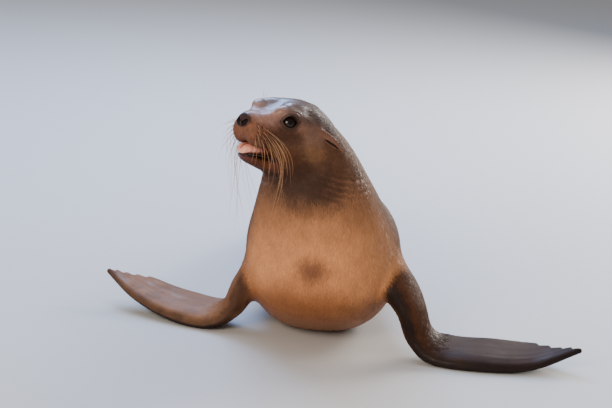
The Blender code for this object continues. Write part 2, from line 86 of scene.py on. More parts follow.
# ---- the head: x, half width, top and bottom, in its own frame
HEAD_PLACE = (-0.088, -0.352, 0.454)
HEAD_TURN = math.radians(45)
HEAD_LIFT = math.radians(20)
SKULL = (
    (-0.072, 0.010, 0.012, -0.016),
    (-0.056, 0.044, 0.048, -0.050),
    (-0.020, 0.071, 0.077, -0.078),
    (0.020, 0.076, 0.087, -0.078),
    (0.060, 0.070, 0.084, -0.064),
    (0.095, 0.056, 0.067, -0.049),
    (0.122, 0.043, 0.047, -0.041),
    (0.148, 0.035, 0.036, -0.037),
    (0.170, 0.029, 0.029, -0.031),
    (0.184, 0.018, 0.021, -0.016),
    (0.190, 0.005, 0.008, -0.004),
)
JAW = (
    (0.000, 0.046, -0.036, -0.074),
    (0.040, 0.048, -0.036, -0.078),
    (0.080, 0.040, -0.036, -0.073),
    (0.110, 0.031, -0.034, -0.065),
    (0.138, 0.025, -0.031, -0.057),
    (0.156, 0.018, -0.029, -0.049),
    (0.163, 0.005, -0.033, -0.040),
)
JAW_HINGE = (0.020, 0.000, -0.032)
JAW_OPEN = math.radians(11)
WHISKER_PAD = ((0.152, 0.0225, -0.012), (0.031, 0.0200, 0.027), 12)
CHEEK = ((0.062, 0.040, -0.046), (0.040, 0.022, 0.034), 14)
BROW = ((0.094, 0.0410, 0.046), (0.040, 0.022, 0.016), 12)
RIDGE = ((0.082, 0.0420, 0.052), (0.114, 0.0385, 0.046), (0.136, 0.0270, 0.027), (0.158, 0.0180, 0.014))
RIDGE_RADII = (0.0100, 0.0125, 0.0110, 0.0100)
LIP = (
    (0.066, 0.0385, -0.043),
    (0.098, 0.0310, -0.037),
    (0.128, 0.0235, -0.033),
    (0.150, 0.0150, -0.0325),
    (0.1590, 0.0, -0.0335),
)
LIP_RADII = (0.0045, 0.0050, 0.0050, 0.0048, 0.0046)
UPPER_LIP = ((0.148, 0.0210, -0.020), (0.030, 0.0150, 0.0222), 12)
PALATE = ((0.108, 0.0, -0.046), (0.058, 0.0170, 0.014))
TROUGH = ((0.106, 0.0, -0.030), (0.044, 0.0165, 0.0080))
PHILTRUM = ((0.1905, 0, -0.006), (0.1875, 0, -0.018), (0.180, 0, -0.036))
PHILTRUM_RADII = (0.0012, 0.0012, 0.0012)
NOSE_PAD = ((0.189, 0.0, 0.0045), (0.019, 0.0205, 0.0160))
NOSTRIL = (
    (0.1885, 0.0042, -0.0085),
    (0.1885, 0.0070, -0.0025),
    (0.1860, 0.0105, 0.0030),
    (0.1815, 0.0135, 0.0062),
)
NOSTRIL_RADII = (0.0020, 0.0046, 0.0040, 0.0016)
TEMPLE = ((0.064, 0.0310, 0.061), (0.040, 0.020, 0.014), 10)
EYE_CENTRE = (0.096, 0.0375, 0.0275)
EYE_RADIUS = 0.0190
EYEBALL_GAP = 0.0010
EYE_BULGE = 0.045
LID_FOLD_START = 0.0016
LID_FOLD_GAP = 0.0046
# the first whisker's x and z on the pad, and the steps to the next column and row
PAD_START = (0.171, 0.003)
PAD_STEP = (0.0092, 0.0072)
PAD_COLUMNS = 6
PAD_ROWS = 5
TONGUE = (  # x, half width, top and bottom, in the jaw's frame
    (0.050, 0.016, -0.023, -0.046),
    (0.090, 0.020, -0.013, -0.040),
    (0.128, 0.021, -0.011, -0.036),
    (0.150, 0.019, -0.012, -0.033),
    (0.163, 0.014, -0.016, -0.034),
    (0.169, 0.003, -0.023, -0.028),
)
EAR = ((0.026, 0.031, -0.004), (-0.004, 0.023, 0.004), (-0.032, 0.008, 0.006))
EAR_WIDTHS = ((0.0095,), (0.0095,), (0.0020,))
EAR_THICKNESS = 0.62
EAR_POINTS = 7
EAR_SLIT_RADII = (0.0008, 0.0020, 0.0024, 0.0022, 0.0016, 0.0006)
# ---- the fore limbs: out, forward, up, chord ahead, chord behind and half thickness
SHOULDER_TURN = math.radians(15)
SHOULDERS = (0.0, -0.250, 0.0)
LEFT_FORE = (
    (0.060, -0.010, 0.215, 0.040, 0.046, 0.036),
    (0.132, -0.004, 0.158, 0.056, 0.062, 0.040),
    (0.184, 0.020, 0.106, 0.060, 0.062, 0.031),
    (0.214, 0.030, 0.048, 0.052, 0.058, 0.026),
    (0.262, 0.034, 0.022, 0.056, 0.078, 0.020),
    (0.350, 0.026, 0.019, 0.052, 0.090, 0.016),
    (0.450, -0.010, 0.023, 0.046, 0.086, 0.012),
    (0.546, -0.070, 0.052, 0.030, 0.066, 0.008),
)
RIGHT_FORE = (
    (0.060, -0.010, 0.215, 0.040, 0.046, 0.036),
    (0.132, -0.004, 0.158, 0.056, 0.062, 0.040),
    (0.182, 0.020, 0.108, 0.060, 0.062, 0.031),
    (0.210, 0.030, 0.050, 0.052, 0.058, 0.026),
    (0.256, 0.034, 0.023, 0.056, 0.078, 0.020),
    (0.340, 0.024, 0.025, 0.052, 0.084, 0.016),
    (0.430, -0.006, 0.043, 0.046, 0.068, 0.012),
    (0.520, -0.050, 0.074, 0.030, 0.046, 0.008),
)
# ---- the hind limbs: out, back, up, chord outside, chord inside and half thickness
HIND = (
    (0.030, 0.590, 0.072, 0.032, 0.032, 0.030),
    (0.058, 0.650, 0.053, 0.032, 0.026, 0.027),
    (0.090, 0.677, 0.035, 0.032, 0.022, 0.022),
    (0.111, 0.644, 0.021, 0.034, 0.028, 0.017),
    (0.118, 0.570, 0.013, 0.040, 0.038, 0.012),
    (0.124, 0.490, 0.009, 0.045, 0.043, 0.009),
    (0.129, 0.405, 0.006, 0.043, 0.040, 0.005),
)
HIPS_MIDDLE = -0.014
DIGITS = 5

COAT_DEPTH = 0.0022  # how far the skin lies inside the solids under the coat
SKIN_DEPTH = 0.0007  # and where it is bare
FLOOR_CLEAR = 0.0004  # the gap that is left above the floor
TURN_AWAY = 0.26  # a tuft is left out where the skin falls away by this share of its length
SKIN_TRIANGLES = 186_000
# ---- the meshing grid: where each span starts along an axis, and the spacing in it
GRID = (
    ((-0.53, 0.0040), (-0.235, 0.0017), (-0.090, 0.0030), (0.060, 0.0042), (0.575, 0.0)),
    ((-0.505, 0.0017), (-0.355, 0.0026), (-0.21, 0.0036), (-0.07, 0.0085), (0.38, 0.0046), (0.80, 0.0)),
    ((-0.012, 0.0017), (0.052, 0.0026), (0.09, 0.0060), (0.36, 0.0030), (0.405, 0.0017), (0.575, 0.0)),
)
MOST_TUFTS = 19_800
DETAIL_REACH = 0.012  # how near the surface folds and bare skin are worked out
CREASE_TINT = 420  # how strongly the folds' height shades them, for each metre
SEED = 20261122


class Side(Enum):
    """A side of the animal, as the sign of the head's y axis and of the body's x axis."""

    LEFT = 1
    RIGHT = -1

    @property
    def label(self) -> str:
        """The side's name in the nodes' names."""
        return self.name.lower()


# ------------------------------------------------------------------------------------------ numbers
def through(knots: Sequence, where: Array) -> Array:
    """A smooth curve through the knots, read at shares from 0 to 1.

    Args:
        knots: rows of numbers, evenly spaced in share.
        where: shares, of any shape.

    Returns:
        Rows of numbers, with one more axis than where.
    """
    knots = np.asarray(knots, float)
    last = len(knots) - 1
    at = np.clip(np.asarray(where, float), 0.0, 1.0) * last
    low = np.minimum(at.astype(int), last - 1)
    slopes = np.gradient(knots, axis=0)
    t = (at - low)[..., None]
    a, b, da, db = knots[low], knots[low + 1], slopes[low], slopes[low + 1]
    return (
        (2 * t**3 - 3 * t**2 + 1) * a
        + (t**3 - 2 * t**2 + t) * da
        + (3 * t**2 - 2 * t**3) * b
        + (t**3 - t**2) * db
    )


def unit(vectors: Array) -> Array:
    """The rows at length 1."""
    return vectors / np.maximum(np.linalg.norm(vectors, axis=-1, keepdims=True), 1e-12)


def smooth_step(low: float, high: float, value: Array) -> Array:
    """0 below low, 1 above high, and an even slope between; low may be the larger one."""
    t = np.clip((value - low) / (high - low), 0.0, 1.0)
    return t * t * (3 - 2 * t)


def blend_min(a: Array, b: Array, reach: float | Array) -> Array:
    """The smaller of two distances, with a fillet of that reach where they meet."""
    h = np.clip(0.5 + 0.5 * (b - a) / reach, 0.0, 1.0)
    return b * (1 - h) + a * h - reach * h * (1 - h)


def blend_max(a: Array, b: Array, reach: float | Array) -> Array:
    """The larger of two distances, rounded over that reach."""
    return -blend_min(-a, -b, reach)


def mirrored(q: Array) -> Array:
    """Points of the head's frame, all moved to its left side."""
    return np.stack([q[:, 0], np.abs(q[:, 1]), q[:, 2]], 1)


def within(q: Array, middle: Sequence, reach: Sequence) -> Array:
    """The numbers of the points inside a box."""
    return np.flatnonzero(np.all(np.abs(q - np.array(middle)) < np.array(reach), axis=1))


class Track:
    """Evenly spaced rows that are read between their numbers at shares from 0 to 1."""

    def __init__(self, rows: Array) -> None:
        self.rows = np.ascontiguousarray(rows)

    def at(self, share: Array) -> Array:
        """The rows at these shares."""
        place = np.clip(share, 0.0, 1.0) * (len(self.rows) - 1)
        low = np.minimum(place.astype(np.int32), len(self.rows) - 2)
        part = (place - low)[..., None]
        return self.rows[low] * (1 - part) + self.rows[low + 1] * part


# ------------------------------------------------------------------------------------------ the forms
class Trunk:
    """The trunk and neck: sections that follow a bent middle line in the upright plane along the body."""

    SAMPLES = 500
    CELL = 0.006
    LOW = (-0.62, -0.06)
    HIGH = (0.90, 0.66)

    def __init__(self) -> None:
        t = np.linspace(0, 1, self.SAMPLES)
        table = through(SPINE, t)
        ahead = through(SPINE, np.minimum(t + BEND, 1)) - through(SPINE, np.maximum(t - BEND, 0))
        ahead = unit(ahead[:, 1:3])
        turning = np.gradient(ahead, t, axis=0)
        moving = np.gradient(table[:, 1:3], t, axis=0)
        pace = (moving * ahead).sum(1, keepdims=True)
        # centre x, y, z, half width, half depth, ahead y and z, their rates, and the pace along the line
        self.track = Track(np.concatenate([table, ahead, turning, pace], 1))
        steps = np.concatenate([[0.0], np.cumsum(np.linalg.norm(np.diff(table[:, :3], axis=0), axis=1))])
        self.length = steps[-1]
        self.shares = self._chart(t, table, ahead)

    def _chart(self, t: Array, table: Array, ahead: Array) -> Array:
        """The share of the line whose section holds each place of a chart of y and z."""
        ys = np.arange(self.LOW[0], self.HIGH[0], self.CELL)
        zs = np.arange(self.LOW[1], self.HIGH[1], self.CELL)
        y, z = np.meshgrid(ys, zs, indexing="ij")
        dy, dz = y[..., None] - table[::4, 1], z[..., None] - table[::4, 2]
        off = dy * ahead[::4, 0] + dz * ahead[::4, 1]
        cost = np.abs(off) + 0.2 * np.hypot(dy, dz)
        return t[::4][cost.argmin(-1)]

    def share(self, p: Array) -> Array:
        """The share of the middle line whose section holds each point."""
        place = (p[:, 1:3] - np.array(self.LOW)) / self.CELL
        top = np.array(self.shares.shape) - 2
        low = np.clip(place.astype(np.int32), 0, top)
        part = np.clip(place - low, 0, 1)
        i, j, a, b = low[:, 0], low[:, 1], part[:, 0], part[:, 1]
        s = self.shares
        near, far = (s[i, k] * (1 - a) + s[i + 1, k] * a for k in (j, j + 1))
        t = near * (1 - b) + far * b
        for _ in range(3):
            row = self.track.at(t)
            dy, dz = p[:, 1] - row[:, 1], p[:, 2] - row[:, 2]
            off = dy * row[:, 5] + dz * row[:, 6]
            rate = dy * row[:, 7] + dz * row[:, 8] - row[:, 9]
            t = np.clip(t - off / np.minimum(rate, -0.25 * row[:, 9]), 0, 1)
        return t

    def distance(self, p: Array) -> tuple[Array, Array, Array, Array]:
        """How far each point is outside, its share of the line, and its place across the section."""
        t = self.share(p)
        row = self.track.at(t)
        dy, dz = p[:, 1] - row[:, 1], p[:, 2] - row[:, 2]
        u = (p[:, 0] - row[:, 0]) / row[:, 3]
        v = (dz * row[:, 5] - dy * row[:, 6]) / row[:, 4]
        power = np.where(v < 0, 2 / FULLNESS, 2.0)
        au, av = np.abs(u) + 1e-6, np.abs(v) + 1e-6
        size = (au**power + av**power) ** (1 / power)
        size = np.maximum(size, 0.05)
        slope = np.hypot((au / size) ** (power - 1) / row[:, 3], (av / size) ** (power - 1) / row[:, 4])
        out = (size - 1) / slope
        past = dy * row[:, 5] + dz * row[:, 6]
        end = np.where(t < 0.5, np.minimum(-past, -t * self.length), np.minimum(past, (t - 1) * self.length))
        end = np.where((t <= 0) | (t >= 1), np.abs(past), end)
        far = np.hypot(np.maximum(out, 0), np.maximum(end, 0)) + np.minimum(np.maximum(out, end), 0)
        return far, t, u, v

    def lie(self, t: Array) -> Array:
        """The way along the body, towards the tail."""
        row = self.track.at(t)
        return np.stack([np.zeros(len(t)), row[:, 5], row[:, 6]], 1)


class HeadForm:
    """A form along the head's x axis, with elliptic sections."""

    def __init__(self, table: Sequence) -> None:
        rows = through(table, np.linspace(0, 1, 600))
        keep = np.concatenate([[True], np.diff(np.maximum.accumulate(rows[:, 0])) > 0])
        rows = rows[keep]
        x = np.linspace(rows[0, 0], rows[-1, 0], 500)
        wide, top, low = (np.interp(x, rows[:, 0], rows[:, k]) for k in (1, 2, 3))
        middle, half = (top + low) / 2, (top - low) / 2
        self.ends = (x[0], x[-1])
        slopes = [np.gradient(f, x) for f in (wide, middle, half)]
        self.track = Track(np.stack([wide, middle, half, *slopes], 1))

    def distance(self, q: Array) -> Array:
        """How far each point of the head's frame is outside the form."""
        first, last = self.ends
        x = np.clip(q[:, 0], first, last)
        wide, middle, half, dw, dm, dh = self.track.at((x - first) / (last - first)).T
        u, v = q[:, 1] / wide, (q[:, 2] - middle) / half
        size = np.maximum(np.hypot(u, v), 0.05)
        along = (u * u * dw / wide + v * (dm + v * dh) / half) / size
        slope = np.sqrt((u / size / wide) ** 2 + (v / size / half) ** 2 + along**2)
        out = (size - 1) / slope
        past = np.abs(q[:, 0] - x)
        return np.where(past > 0, np.hypot(np.maximum(out, 0), past), out)


def ellipsoid(q: Array, centre: Sequence, radii: Sequence, turn: float = 0.0) -> Array:
    """How far each point is outside an ellipsoid turned about z by that many degrees."""
    d = q - np.asarray(centre)
    c, s = math.cos(math.radians(turn)), math.sin(math.radians(turn))
    d = np.stack([d[:, 0] * c - d[:, 1] * s, d[:, 0] * s + d[:, 1] * c, d[:, 2]], 1)
    r = np.asarray(radii)
    size = np.maximum(np.linalg.norm(d / r, axis=1), 0.05)
    return (size - 1) * size / np.linalg.norm(d / r**2, axis=1)


def chain(q: Array, path: Sequence, radii: Sequence) -> Array:
    """How far each point is outside a string of balls that follows the path."""
    path = np.asarray(path, float)
    best = np.full(len(q), 1.0)
    for a, b, ra, rb in zip(path[:-1], path[1:], radii[:-1], radii[1:]):
        d = b - a
        t = np.clip(((q - a) @ d) / (d @ d), 0, 1)
        best = np.minimum(best, np.linalg.norm(q - a - t[:, None] * d, axis=1) - (ra + (rb - ra) * t))
    return best


@dataclass(frozen=True)
class LimbShape:
    """What sets one kind of limb apart.

    Attributes:
        wrist: the share of the length where the blade starts to thicken at its leading edge.
        slant: how much shorter the trailing edge is, as a share.
        scallop: the depth of the notches between the digits, as a share.
        tilt: the turn of the hand about its length.
        join: the reach of the fillet to the trunk.
        start: the share where the coat turns from the trunk's to the limb's.
    """

    wrist: float
    slant: float
    scallop: float
    tilt: float
    join: float
    start: float


FORE_SHAPE = LimbShape(0.46, 0.10, 0.016, math.radians(12), 0.030, 0.10)
HIND_SHAPE = LimbShape(0.46, 0.05, 0.050, 0.0, 0.022, 0.02)


class Limb:
    """A flipper with the stretch that carries it, from a table of sections along its middle line."""

    SAMPLES = 400
    COARSE = 12
    CHUNK = 200_000
    GAINS = (0.8, 0.4, 0.8, 0.4, 0.3)  # uneven steps settle both on the straights and outside the heel

    def __init__(
        self,
        table: Sequence,
        place: Callable[[Array], Array],
        chord: Callable[[Array], Array],
        side: int,
        shape: LimbShape,
    ) -> None:
        """Prepares the limb.

        Args:
            table: rows of place, chord ahead, chord behind and half thickness.
            place: turns the first three columns into points.
            chord: the direction of the leading edge for a direction along the limb.
            side: the sign that makes its upper side face up.
            shape: the kind of limb.
        """
        self.shape = shape
        t = np.linspace(0, 1, self.SAMPLES)
        rows = through(table, t)
        line = place(rows)
        ahead = unit(place(through(table, t + 0.004)) - place(through(table, t - 0.004)))
        ahead[-2:] = ahead[-3]
        ahead[:2] = ahead[2]
        across = chord(ahead)
        across = unit(across - ahead * (across * ahead).sum(-1, keepdims=True))
        normal = np.cross(across, ahead) * side
        lean = shape.tilt * np.clip((t - 0.30) / 0.25, 0, 1)[:, None]
        c, s = np.cos(lean), np.sin(lean)
        across, normal = across * c - normal * s, normal * c + across * s
        pace = np.linalg.norm(np.gradient(line, t, axis=0), axis=1, keepdims=True)
        self.length = float(pace.mean())
        # line, ahead, across, normal, chord ahead, chord behind, half thickness, pace
        self.track = Track(np.concatenate([line, ahead, across, normal, rows[:, 3:6], pace], 1))
        reach = rows[:, 3:5].max() + 0.05
        self.low, self.high = line.min(0) - reach, line.max(0) + reach

    def near(self, p: Array) -> Array:
        """Which points can be touched by the limb."""
        return np.all((p > self.low) & (p < self.high), axis=1)

    def locate(self, p: Array) -> tuple[Array, Array, Array, Array]:
        """The share of the length, the place across and above, and the row of the track for each point."""
        coarse = self.track.rows[:: self.COARSE, :3]
        t = np.empty(len(p))
        for start in range(0, len(p), self.CHUNK):
            chunk = p[start : start + self.CHUNK]
            gaps = ((chunk[:, None] - coarse[None]) ** 2).sum(-1)
            t[start : start + self.CHUNK] = gaps.argmin(1) * self.COARSE / (self.SAMPLES - 1)
        for gain in self.GAINS:
            row = self.track.at(t)
            off = ((p - row[:, :3]) * row[:, 3:6]).sum(1)
            t = np.clip(t + gain * off / row[:, 15], 0, 1)
        row = self.track.at(t)
        d = p - row[:, :3]
        return t, (d * row[:, 6:9]).sum(1), (d * row[:, 9:12]).sum(1), row

    def distance(self, p: Array) -> tuple[Array, Array, Array, Array]:
        """How far each point is outside, its share, its place across from -1 to 1, and its height above."""
        t, c, n, row = self.locate(p)
        past = ((p - row[:, :3]) * row[:, 3:6]).sum(1)
        chord = np.where(c > 0, row[:, 12], row[:, 13])
        a = c / chord
        hand = np.clip((t - self.shape.wrist) / 0.2, 0, 1)
        thick = row[:, 14] * (1 + 0.45 * hand * np.clip(a, -1, 1))
        rays = np.cos((np.clip(a, -1, 1) + 1) * DIGITS * math.pi)
        fan = smooth_step(0.55, 0.85, t) * smooth_step(1.05, 0.8, np.abs(a))
        thick = thick - 0.0007 * fan * (0.5 + 0.5 * rays)
        size = np.maximum(np.hypot(a, n / thick), 0.05)
        slope = np.hypot(a / size / chord, n / size / thick**2)
        out = (size - 1) / slope
        cut = self.shape.slant * (1 - np.clip(a, -1, 1)) / 2 + 0.6 * self.shape.scallop * (0.5 + 0.5 * rays)
        end = (t - (1 - cut)) * row[:, 15] + np.maximum(past, 0)
        out = blend_max(out, end, 0.004)
        out = np.where(past < -2e-3, np.hypot(np.maximum(out, 0), past), out)
        return out, t, a, n


def touching(limbs: Sequence[Limb], p: Array) -> Iterator[tuple[Limb, Array]]:
    """Each limb that can touch some of the points, with the numbers of those points."""
    for limb in limbs:
        near = np.flatnonzero(limb.near(p))
        if len(near):
            yield limb, near


def fore_limb(side: Side) -> Limb:
    """The fore limb on that side."""
    out = side.value * np.array([math.cos(SHOULDER_TURN), -math.sin(SHOULDER_TURN), 0.0])
    front = np.array([-math.sin(SHOULDER_TURN), -math.cos(SHOULDER_TURN), 0.0])
    up = np.array([0.0, 0.0, 1.0])

    def place(row: Array) -> Array:
        return np.array(SHOULDERS) + row[..., :1] * out + row[..., 1:2] * front + row[..., 2:3] * up

    def chord(ahead: Array) -> Array:
        return np.broadcast_to(front, ahead.shape)

    table = LEFT_FORE if side is Side.LEFT else RIGHT_FORE
    return Limb(table, place, chord, side.value, FORE_SHAPE)


def hind_limb(side: Side) -> Limb:
    """The hind limb on that side."""
    sign = side.value

    def place(row: Array) -> Array:
        return row[..., :3] * np.array([sign, 1.0, 1.0]) + np.array([HIPS_MIDDLE, 0.0, 0.0])

    def chord(ahead: Array) -> Array:
        return sign * np.stack((-ahead[..., 1], ahead[..., 0], np.zeros(ahead.shape[:-1])), -1)

    return Limb(HIND, place, chord, -sign, HIND_SHAPE)


class HeadFrame:
    """The head's own axes: x towards the nose, y to its left and z up, from a point between the ears."""

    def __init__(self) -> None:
        flat = np.array([-math.sin(HEAD_TURN), -math.cos(HEAD_TURN), 0.0]) * math.cos(HEAD_LIFT)
        forward = flat + np.array([0.0, 0.0, math.sin(HEAD_LIFT)])
        left = np.array([math.cos(HEAD_TURN), -math.sin(HEAD_TURN), 0.0])
        self.axes = np.stack([forward, left, np.cross(forward, left)])
        self.place = np.array(HEAD_PLACE)
        c, s = math.cos(JAW_OPEN), math.sin(JAW_OPEN)
        self.jaw_axes = np.array([[c, 0, s], [0, 1, 0], [-s, 0, c]])
        self.hinge = np.array(JAW_HINGE)

    def into(self, p: Array) -> Array:
        """From the model's frame to the head's."""
        return (p - self.place) @ self.axes.T

    def out(self, q: Array) -> Array:
        """From the head's frame to the model's."""
        return np.asarray(q) @ self.axes + self.place

    def turn(self, v: Array) -> Array:
        """A direction from the head's frame to the model's."""
        return np.asarray(v) @ self.axes

    def into_jaw(self, q: Array) -> Array:
        """From the head's frame to the jaw's, where the mouth is shut."""
        return (q - self.hinge) @ self.jaw_axes + self.hinge

    def out_of_jaw(self, j: Array) -> Array:
        """From the jaw's frame to the head's."""
        return (np.asarray(j) - self.hinge) @ self.jaw_axes.T + self.hinge


@dataclass(frozen=True)
class Eye:
    """One eye: its side, and the axes of its opening in the head's frame."""

    side: Side

    LONG = 0.0164
    HIGH = 0.0112
    ARCH = 2.5

    @property
    def centre(self) -> Array:
        """The eyeball's centre."""
        return np.array([EYE_CENTRE[0], EYE_CENTRE[1] * self.side.value, EYE_CENTRE[2]])

    @property
    def axes(self) -> Array:
        """Rows: towards the nose, up along the opening, and the gaze."""
        gaze = unit(np.array([0.46, 0.86 * self.side.value, 0.20]))
        nose = np.array([1.0, 0.0, -0.10])
        nose = unit(nose - gaze * (nose @ gaze))
        up = np.cross(gaze, nose)
        return np.stack([nose, up * np.sign(up[2]), gaze])

    def opening(self, q: Array) -> tuple[Array, Array]:
        """How far each point is outside the opening's rim, and how far out from the eyeball's middle."""
        a, b, c = ((q - self.centre) @ self.axes.T).T
        share = a / self.LONG
        arch = np.maximum(1 - np.abs(share) ** self.ARCH, -3.0)
        high = self.HIGH * np.where(b > 0, 1.0, 1.04)
        rise = self.ARCH * high * np.minimum(np.abs(share), 1.3) ** (self.ARCH - 1) / self.LONG
        steep = np.hypot(1.0, rise)
        return (np.abs(b) - high * arch) / steep, c

    @staticmethod
    def fold(rim: Array) -> Array:
        """The folds round the lids, as a wave from -1 to 1 over the distance from the rim."""
        return np.cos((rim - LID_FOLD_START) * math.tau / LID_FOLD_GAP)


class SeaLion:
    """The whole animal as one smooth field, negative inside the skin."""

    def __init__(self) -> None:
        self.trunk = Trunk()
        self.head = HeadFrame()
        self.skull = HeadForm(SKULL)
        self.jaw = HeadForm(JAW)
        self.fore = {side: fore_limb(side) for side in Side}
        self.hind = {side: hind_limb(side) for side in Side}
        self.limbs = [*self.fore.values(), *self.hind.values()]
        self.eyes = [Eye(side) for side in Side]
        self.ear_widths = through(EAR_WIDTHS, np.linspace(0, 1, EAR_POINTS))[:, 0]
        self.ears = {side: self._ear_path(side) for side in Side}

    def _ear_path(self, side: Side) -> Array:
        """Points along the ear in the head's frame, standing off the head as the table says."""
        rows = through(EAR, np.linspace(0, 1, EAR_POINTS))
        path = []
        for x, z, off in rows:
            near, far = 0.02, 0.16
            for _ in range(30):
                mid = (near + far) / 2
                point = self.head.out(np.array([[x, side.value * mid, z]]))
                near, far = (mid, far) if self.flesh(point)[0] < -COAT_DEPTH else (near, mid)
            path.append([x, side.value * (mid + off), z])
        return np.array(path)

    def face(self, q: Array) -> Array:
        """The head in its own frame, with the jaws, the pads, the cheeks and the brows."""
        mirror = mirrored(q)
        j = self.head.into_jaw(q)
        skull = self.skull.distance(q) + 0.04 * smooth_step(-0.036, -0.066, q[:, 0])
        skull = blend_min(skull, ellipsoid(mirror, *WHISKER_PAD), 0.012)
        skull = blend_min(skull, ellipsoid(mirror, *BROW), 0.020)
        skull = blend_min(skull, chain(mirror, RIDGE, RIDGE_RADII), 0.014)
        skull = blend_min(skull, ellipsoid(mirror, *TEMPLE), 0.016)
        skull = blend_min(skull, ellipsoid(mirror, *UPPER_LIP), 0.006)
        skull = blend_max(skull, -ellipsoid(q, *PALATE), 0.004)
        jaw = blend_max(self.jaw.distance(j), -ellipsoid(j, *TROUGH), 0.003)
        jaw = blend_min(jaw, chain(mirrored(j), LIP, LIP_RADII), 0.004)
        both = blend_min(skull, jaw, 0.003 + 0.014 * smooth_step(0.085, 0.03, q[:, 0]))
        both = blend_min(both, ellipsoid(mirror, *CHEEK), 0.014)
        return blend_max(both, -chain(q, PHILTRUM, PHILTRUM_RADII), 0.003)

    def flesh(self, p: Array) -> Array:
        """The outer form of the animal without its coat's depth, ears, lids or folds."""
        out = self.trunk.distance(p)[0]
        q = self.head.into(p)
        near = within(q, (0.055, 0, 0), (0.20, 0.14, 0.15))
        if len(near):
            out[near] = blend_min(out[near], self.face(q[near]), 0.022)
        for limb, near in touching(self.limbs, p):
            out[near] = blend_min(out[near], limb.distance(p[near])[0], limb.shape.join)
        return out

    def depth(self, p: Array, q: Array) -> Array:
        """How far the skin lies inside the outer form: the coat's depth, and almost nothing on bare skin."""
        bare = self.bareness(p, q)
        return COAT_DEPTH + (SKIN_DEPTH - COAT_DEPTH) * bare

    def bareness(self, p: Array, q: Array) -> Array:
        """1 on the bare skin of the flippers, the nose and the lips, and 0 under the coat."""
        bare = np.zeros(len(p))
        for limb, near in touching(list(self.fore.values()), p):
            t = limb.locate(p[near])[0]
            bare[near] = np.maximum(bare[near], smooth_step(0.52, 0.66, t))
        for limb, near in touching(list(self.hind.values()), p):
            out, t, _, _ = limb.distance(p[near])
            bare[near] = np.maximum(bare[near], smooth_step(0.40, 0.56, t) * smooth_step(0.012, 0.004, out))
        return np.maximum(bare, self.nose_pad(q))

    def nose_pad(self, q: Array) -> Array:
        """1 on the bare pad round the nostrils, falling to 0 over its rim."""
        centre, radii = NOSE_PAD
        return smooth_step(1.16, 0.86, np.linalg.norm((q - np.array(centre)) / np.array(radii), axis=1))

    def creases(self, p: Array) -> Array:
        """Shallow folds across the throat and below the jaw, as heights."""
        height = p[:, 2] + 0.10 * p[:, 0] + 0.0035 * np.sin(48 * p[:, 0] + 1.0)
        rings = np.cos(height * math.tau / 0.0125 + 0.8 * np.sin(31 * p[:, 1]))
        band = smooth_step(0.335, 0.372, p[:, 2]) * smooth_step(0.425, 0.398, p[:, 2])
        throat = smooth_step(-0.33, -0.39, p[:, 1]) * smooth_step(-0.10, -0.03, p[:, 0] - 0.02)
        return 0.0010 * band * throat * np.maximum(rings, -0.3)

    def field(self, p: Array) -> Array:
        """The skin's field: below zero inside."""
        out = self.flesh(p)
        q = self.head.into(p)
        close = np.abs(out) < DETAIL_REACH
        out[~close] += COAT_DEPTH
        if close.any():
            out[close] += self.depth(p[close], q[close]) + self.creases(p[close])
        near = within(q, (0.07, 0, 0), (0.135, 0.12, 0.10))
        if len(near):
            out[near] = self._details(out[near], q[near])
        return blend_max(out, FLOOR_CLEAR - p[:, 2], 0.0030)

    def _details(self, out: Array, q: Array) -> Array:
        """Ears, lids and nostrils."""
        squash = np.array([1.0, 1 / EAR_THICKNESS, 1.0])
        for side, path in self.ears.items():
            ear = chain(q * squash, path * squash, self.ear_widths - 0.0010) * 0.75
            out = blend_min(out, ear, 0.0012 + 0.0050 * smooth_step(0.012, 0.030, q[:, 0]))
            out = blend_max(out, -self.ear_slit(q, side), 0.0012)
        for eye in self.eyes:
            far = np.linalg.norm(q - eye.centre, axis=1)
            near = np.flatnonzero(far < 0.045)
            if len(near):
                out[near] = self._lids(out[near], q[near], far[near], eye)
        return blend_max(out, -self.nostrils(q), 0.0018)

    @staticmethod
    def _lids(out: Array, q: Array, far: Array, eye: Eye) -> Array:
        """The lids over an eyeball, the folds round them and the opening between them."""
        rim, ahead = eye.opening(q)
        out = blend_min(out, far - (EYE_RADIUS + 0.0024), 0.007)
        folds = eye.fold(rim) * np.exp(-((rim / 0.0085) ** 2)) * smooth_step(0, 0.002, rim)
        out = out - 0.0011 * folds * smooth_step(0.0, 0.01, ahead)
        hole = np.maximum(rim, (EYE_RADIUS - 0.0016) - far)
        hole = np.maximum(hole, 0.004 - ahead)
        return blend_max(out, -hole, 0.0012)

    def nostrils(self, q: Array) -> Array:
        """The distance from the two slanted nostrils, negative inside."""
        return chain(mirrored(q), NOSTRIL, NOSTRIL_RADII)

    def ear_slit(self, q: Array, side: Side) -> Array:
        """The distance from the narrow opening below an ear, negative inside."""
        under = self.ears[side][1:] + np.array([0.001, side.value * 0.0028, -0.0060])
        return chain(q, under, EAR_SLIT_RADII)

    def slope(self, p: Array, step: float = 4e-4) -> Array:
        """The field's gradient, by central differences."""
        grad = np.empty_like(p)
        for k in range(3):
            shift = np.zeros(3)
            shift[k] = step
            grad[:, k] = (self.field(p + shift) - self.field(p - shift)) / (2 * step)
        return grad

    def settle(self, p: Array, rounds: int) -> Array:
        """Moves points onto the skin."""
        for _ in range(rounds):
            grad = self.slope(p)
            size = np.maximum((grad**2).sum(1), 0.2)
            step = self.field(p) / size
            p = p - grad * np.clip(step, -0.002, 0.002)[:, None]
        return p


